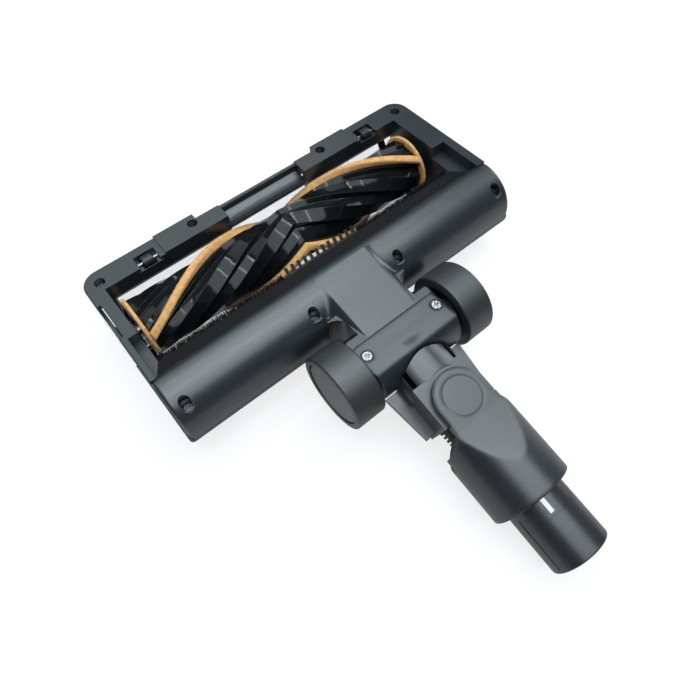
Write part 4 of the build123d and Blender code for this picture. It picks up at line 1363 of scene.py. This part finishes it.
@dataclass
class Studio:
    """Pale table, soft overhead light and the camera of the photograph.

    The table's size is in metres. The camera's place is in millimetres in the head's
    own frame, and its turns are about the upright, about its side and about its view.
    The lamps are a broad panel overhead, dimmer ones behind and at the right, and two
    slim tubes for glints on the core.
    """

    head: HeadFrame
    table_size: float = 3.0
    table_colour: Colour = (0.86, 0.86, 0.87)
    seen_glow: float = 0.76
    mirrored_glow: float = 0.34
    seen_share: float = 0.30
    ambient: float = 0.10
    seen_world: float = 1.0
    camera_place: Place = (-118.989, -245.721, 246.647)
    azimuth: float = math.radians(-36.39)
    elevation: float = math.radians(59.75)
    roll: float = math.radians(-3.74)
    focal_pixels: float = 540.0
    frame_pixels: float = 700.0
    sensor: float = 36.0
    clip: Pair = (0.01, 20.0)

    LAMPS = (
        Lamp("overhead_panel", (0.02, -0.16, 1.10), (0.02, -0.15, 0.0), size=(1.3, 1.15), power=13.0),
        Lamp("back_panel", (0.0, 0.95, 0.90), (0.0, 0.0, 0.0), size=(1.5, 0.8), power=4.0),
        Lamp("side_panel", (1.15, 0.10, 0.45), (0.0, 0.0, 0.03), size=(0.9, 0.5), power=5.0),
        Lamp("far_tube", (0.10, 0.36, 0.80), (0.0, 0.10, 0.02), size=(0.9, 0.012), power=1.6),
        Lamp("near_tube", (0.05, 0.02, 0.80), (0.0, 0.10, 0.02), size=(0.9, 0.012), power=0.9),
    )

    def table_material(self) -> Material:
        """Table finish: plain pale grey, nearly white to the camera, and between the two in a gloss.

        Seen rays add a glow to the dimmed lit colour, so that open ground is white and
        the object's shadow still shows.

        Returns:
            The material.
        """
        made = bpy.data.materials.new("pale_table")
        made.use_nodes = True
        sheet = NodeSheet(made.node_tree)
        lit = [tuple(share * value for value in self.table_colour) for share in (1.0, self.seen_share)]
        plain, dimmed = (sheet.add("ShaderNodeBsdfDiffuse", Color=(*colour, 1.0)) for colour in lit)
        glow = sheet.add("ShaderNodeEmission")
        both = sheet.add("ShaderNodeAddShader")
        path = sheet.add("ShaderNodeLightPath")
        direct = sheet.math("MAXIMUM", path.outputs["Is Camera Ray"], path.outputs["Is Transmission Ray"])
        seen = sheet.math("MAXIMUM", direct, path.outputs["Is Glossy Ray"])
        more = self.seen_glow - self.mirrored_glow
        sheet.join(sheet.math("MULTIPLY_ADD", direct, more, self.mirrored_glow), glow.inputs["Strength"])
        sheet.join(dimmed.outputs["BSDF"], both.inputs[0])
        sheet.join(glow.outputs["Emission"], both.inputs[1])
        output = sheet.add("ShaderNodeOutputMaterial")
        sheet.join(sheet.mix(seen, plain, both), output.inputs["Surface"])
        return made

    def table(self) -> None:
        """Lay the flat table under the head."""
        half = self.table_size / 2
        points = np.array([[-half, -half, 0], [half, -half, 0], [half, half, 0], [-half, half, 0]])
        made = new_mesh("table", points, np.array([[0, 1, 2, 3]]), smooth=False)
        made.data.materials.append(self.table_material())

    def world(self) -> None:
        """Set even pale surroundings, white where the camera looks past the table."""
        world = bpy.data.worlds.new("surroundings")
        bpy.context.scene.world = world
        world.use_nodes = True
        sheet = NodeSheet(world.node_tree)
        soft, white = (sheet.add("ShaderNodeBackground", Color=(1.0, 1.0, 1.0, 1.0), Strength=strength)
                       for strength in (self.ambient, self.seen_world))
        path = sheet.add("ShaderNodeLightPath")
        output = sheet.add("ShaderNodeOutputWorld")
        sheet.join(sheet.mix(path.outputs["Is Camera Ray"], soft, white), output.inputs["Surface"])

    def camera(self) -> None:
        """Stand the camera at its place and turn in the head's own frame."""
        a, b, c = self.azimuth, self.elevation, self.roll
        forward = np.array([-math.sin(a) * math.cos(b), math.cos(a) * math.cos(b), -math.sin(b)])
        side = np.array([math.cos(a), math.sin(a), 0.0])
        up = np.cross(side, forward)
        right = side * math.cos(c) + up * math.sin(c)
        top = up * math.cos(c) - side * math.sin(c)
        data = bpy.data.cameras.new("photograph")
        data.sensor_width = self.sensor
        data.sensor_fit = "HORIZONTAL"
        data.lens = self.focal_pixels / self.frame_pixels * self.sensor
        data.clip_start, data.clip_end = self.clip
        made = link("photograph", data)
        place = tuple(self.head.place(np.array(self.camera_place)).tolist())
        stand(made, place, *self.head.turn(np.array([right, top, -forward])))
        bpy.context.scene.camera = made

    def build(self) -> None:
        """Set the table, the light and the camera."""
        bpy.context.scene.view_settings.view_transform = "Standard"
        self.table()
        self.world()
        for lamp in self.LAMPS:
            lamp.hang()
        self.camera()
        log.info("table, light and camera are set")


def corners(bounds: Any) -> list[list[float]]:
    """A box as plain lists of numbers."""
    return [[float(value) for value in corner] for corner in bounds]


def main() -> None:
    """Load the frame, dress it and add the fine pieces."""
    logging.basicConfig(level=logging.INFO, format="%(name)s: %(message)s")
    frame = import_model()
    head = HeadFrame.from_joints(frame["joints"])
    wardrobe = Wardrobe()
    wardrobe.dress_nodes(frame["nodes"])
    # painted shade: the channel behind the roll is painted black
    wardrobe.paint_channel_shade(frame["nodes"]["sole_housing"], head)
    BrushRoll(head, wardrobe).build()
    BristleRow(head, wardrobe).build()
    BridgeSaddle(head, wardrobe).build()
    HoodLedge(head, wardrobe).build()
    BellowsHose(head, wardrobe).build(frame["nodes"]["bellows_hose"])
    Studio(head).build()


if __name__ == "__main__":
    main()
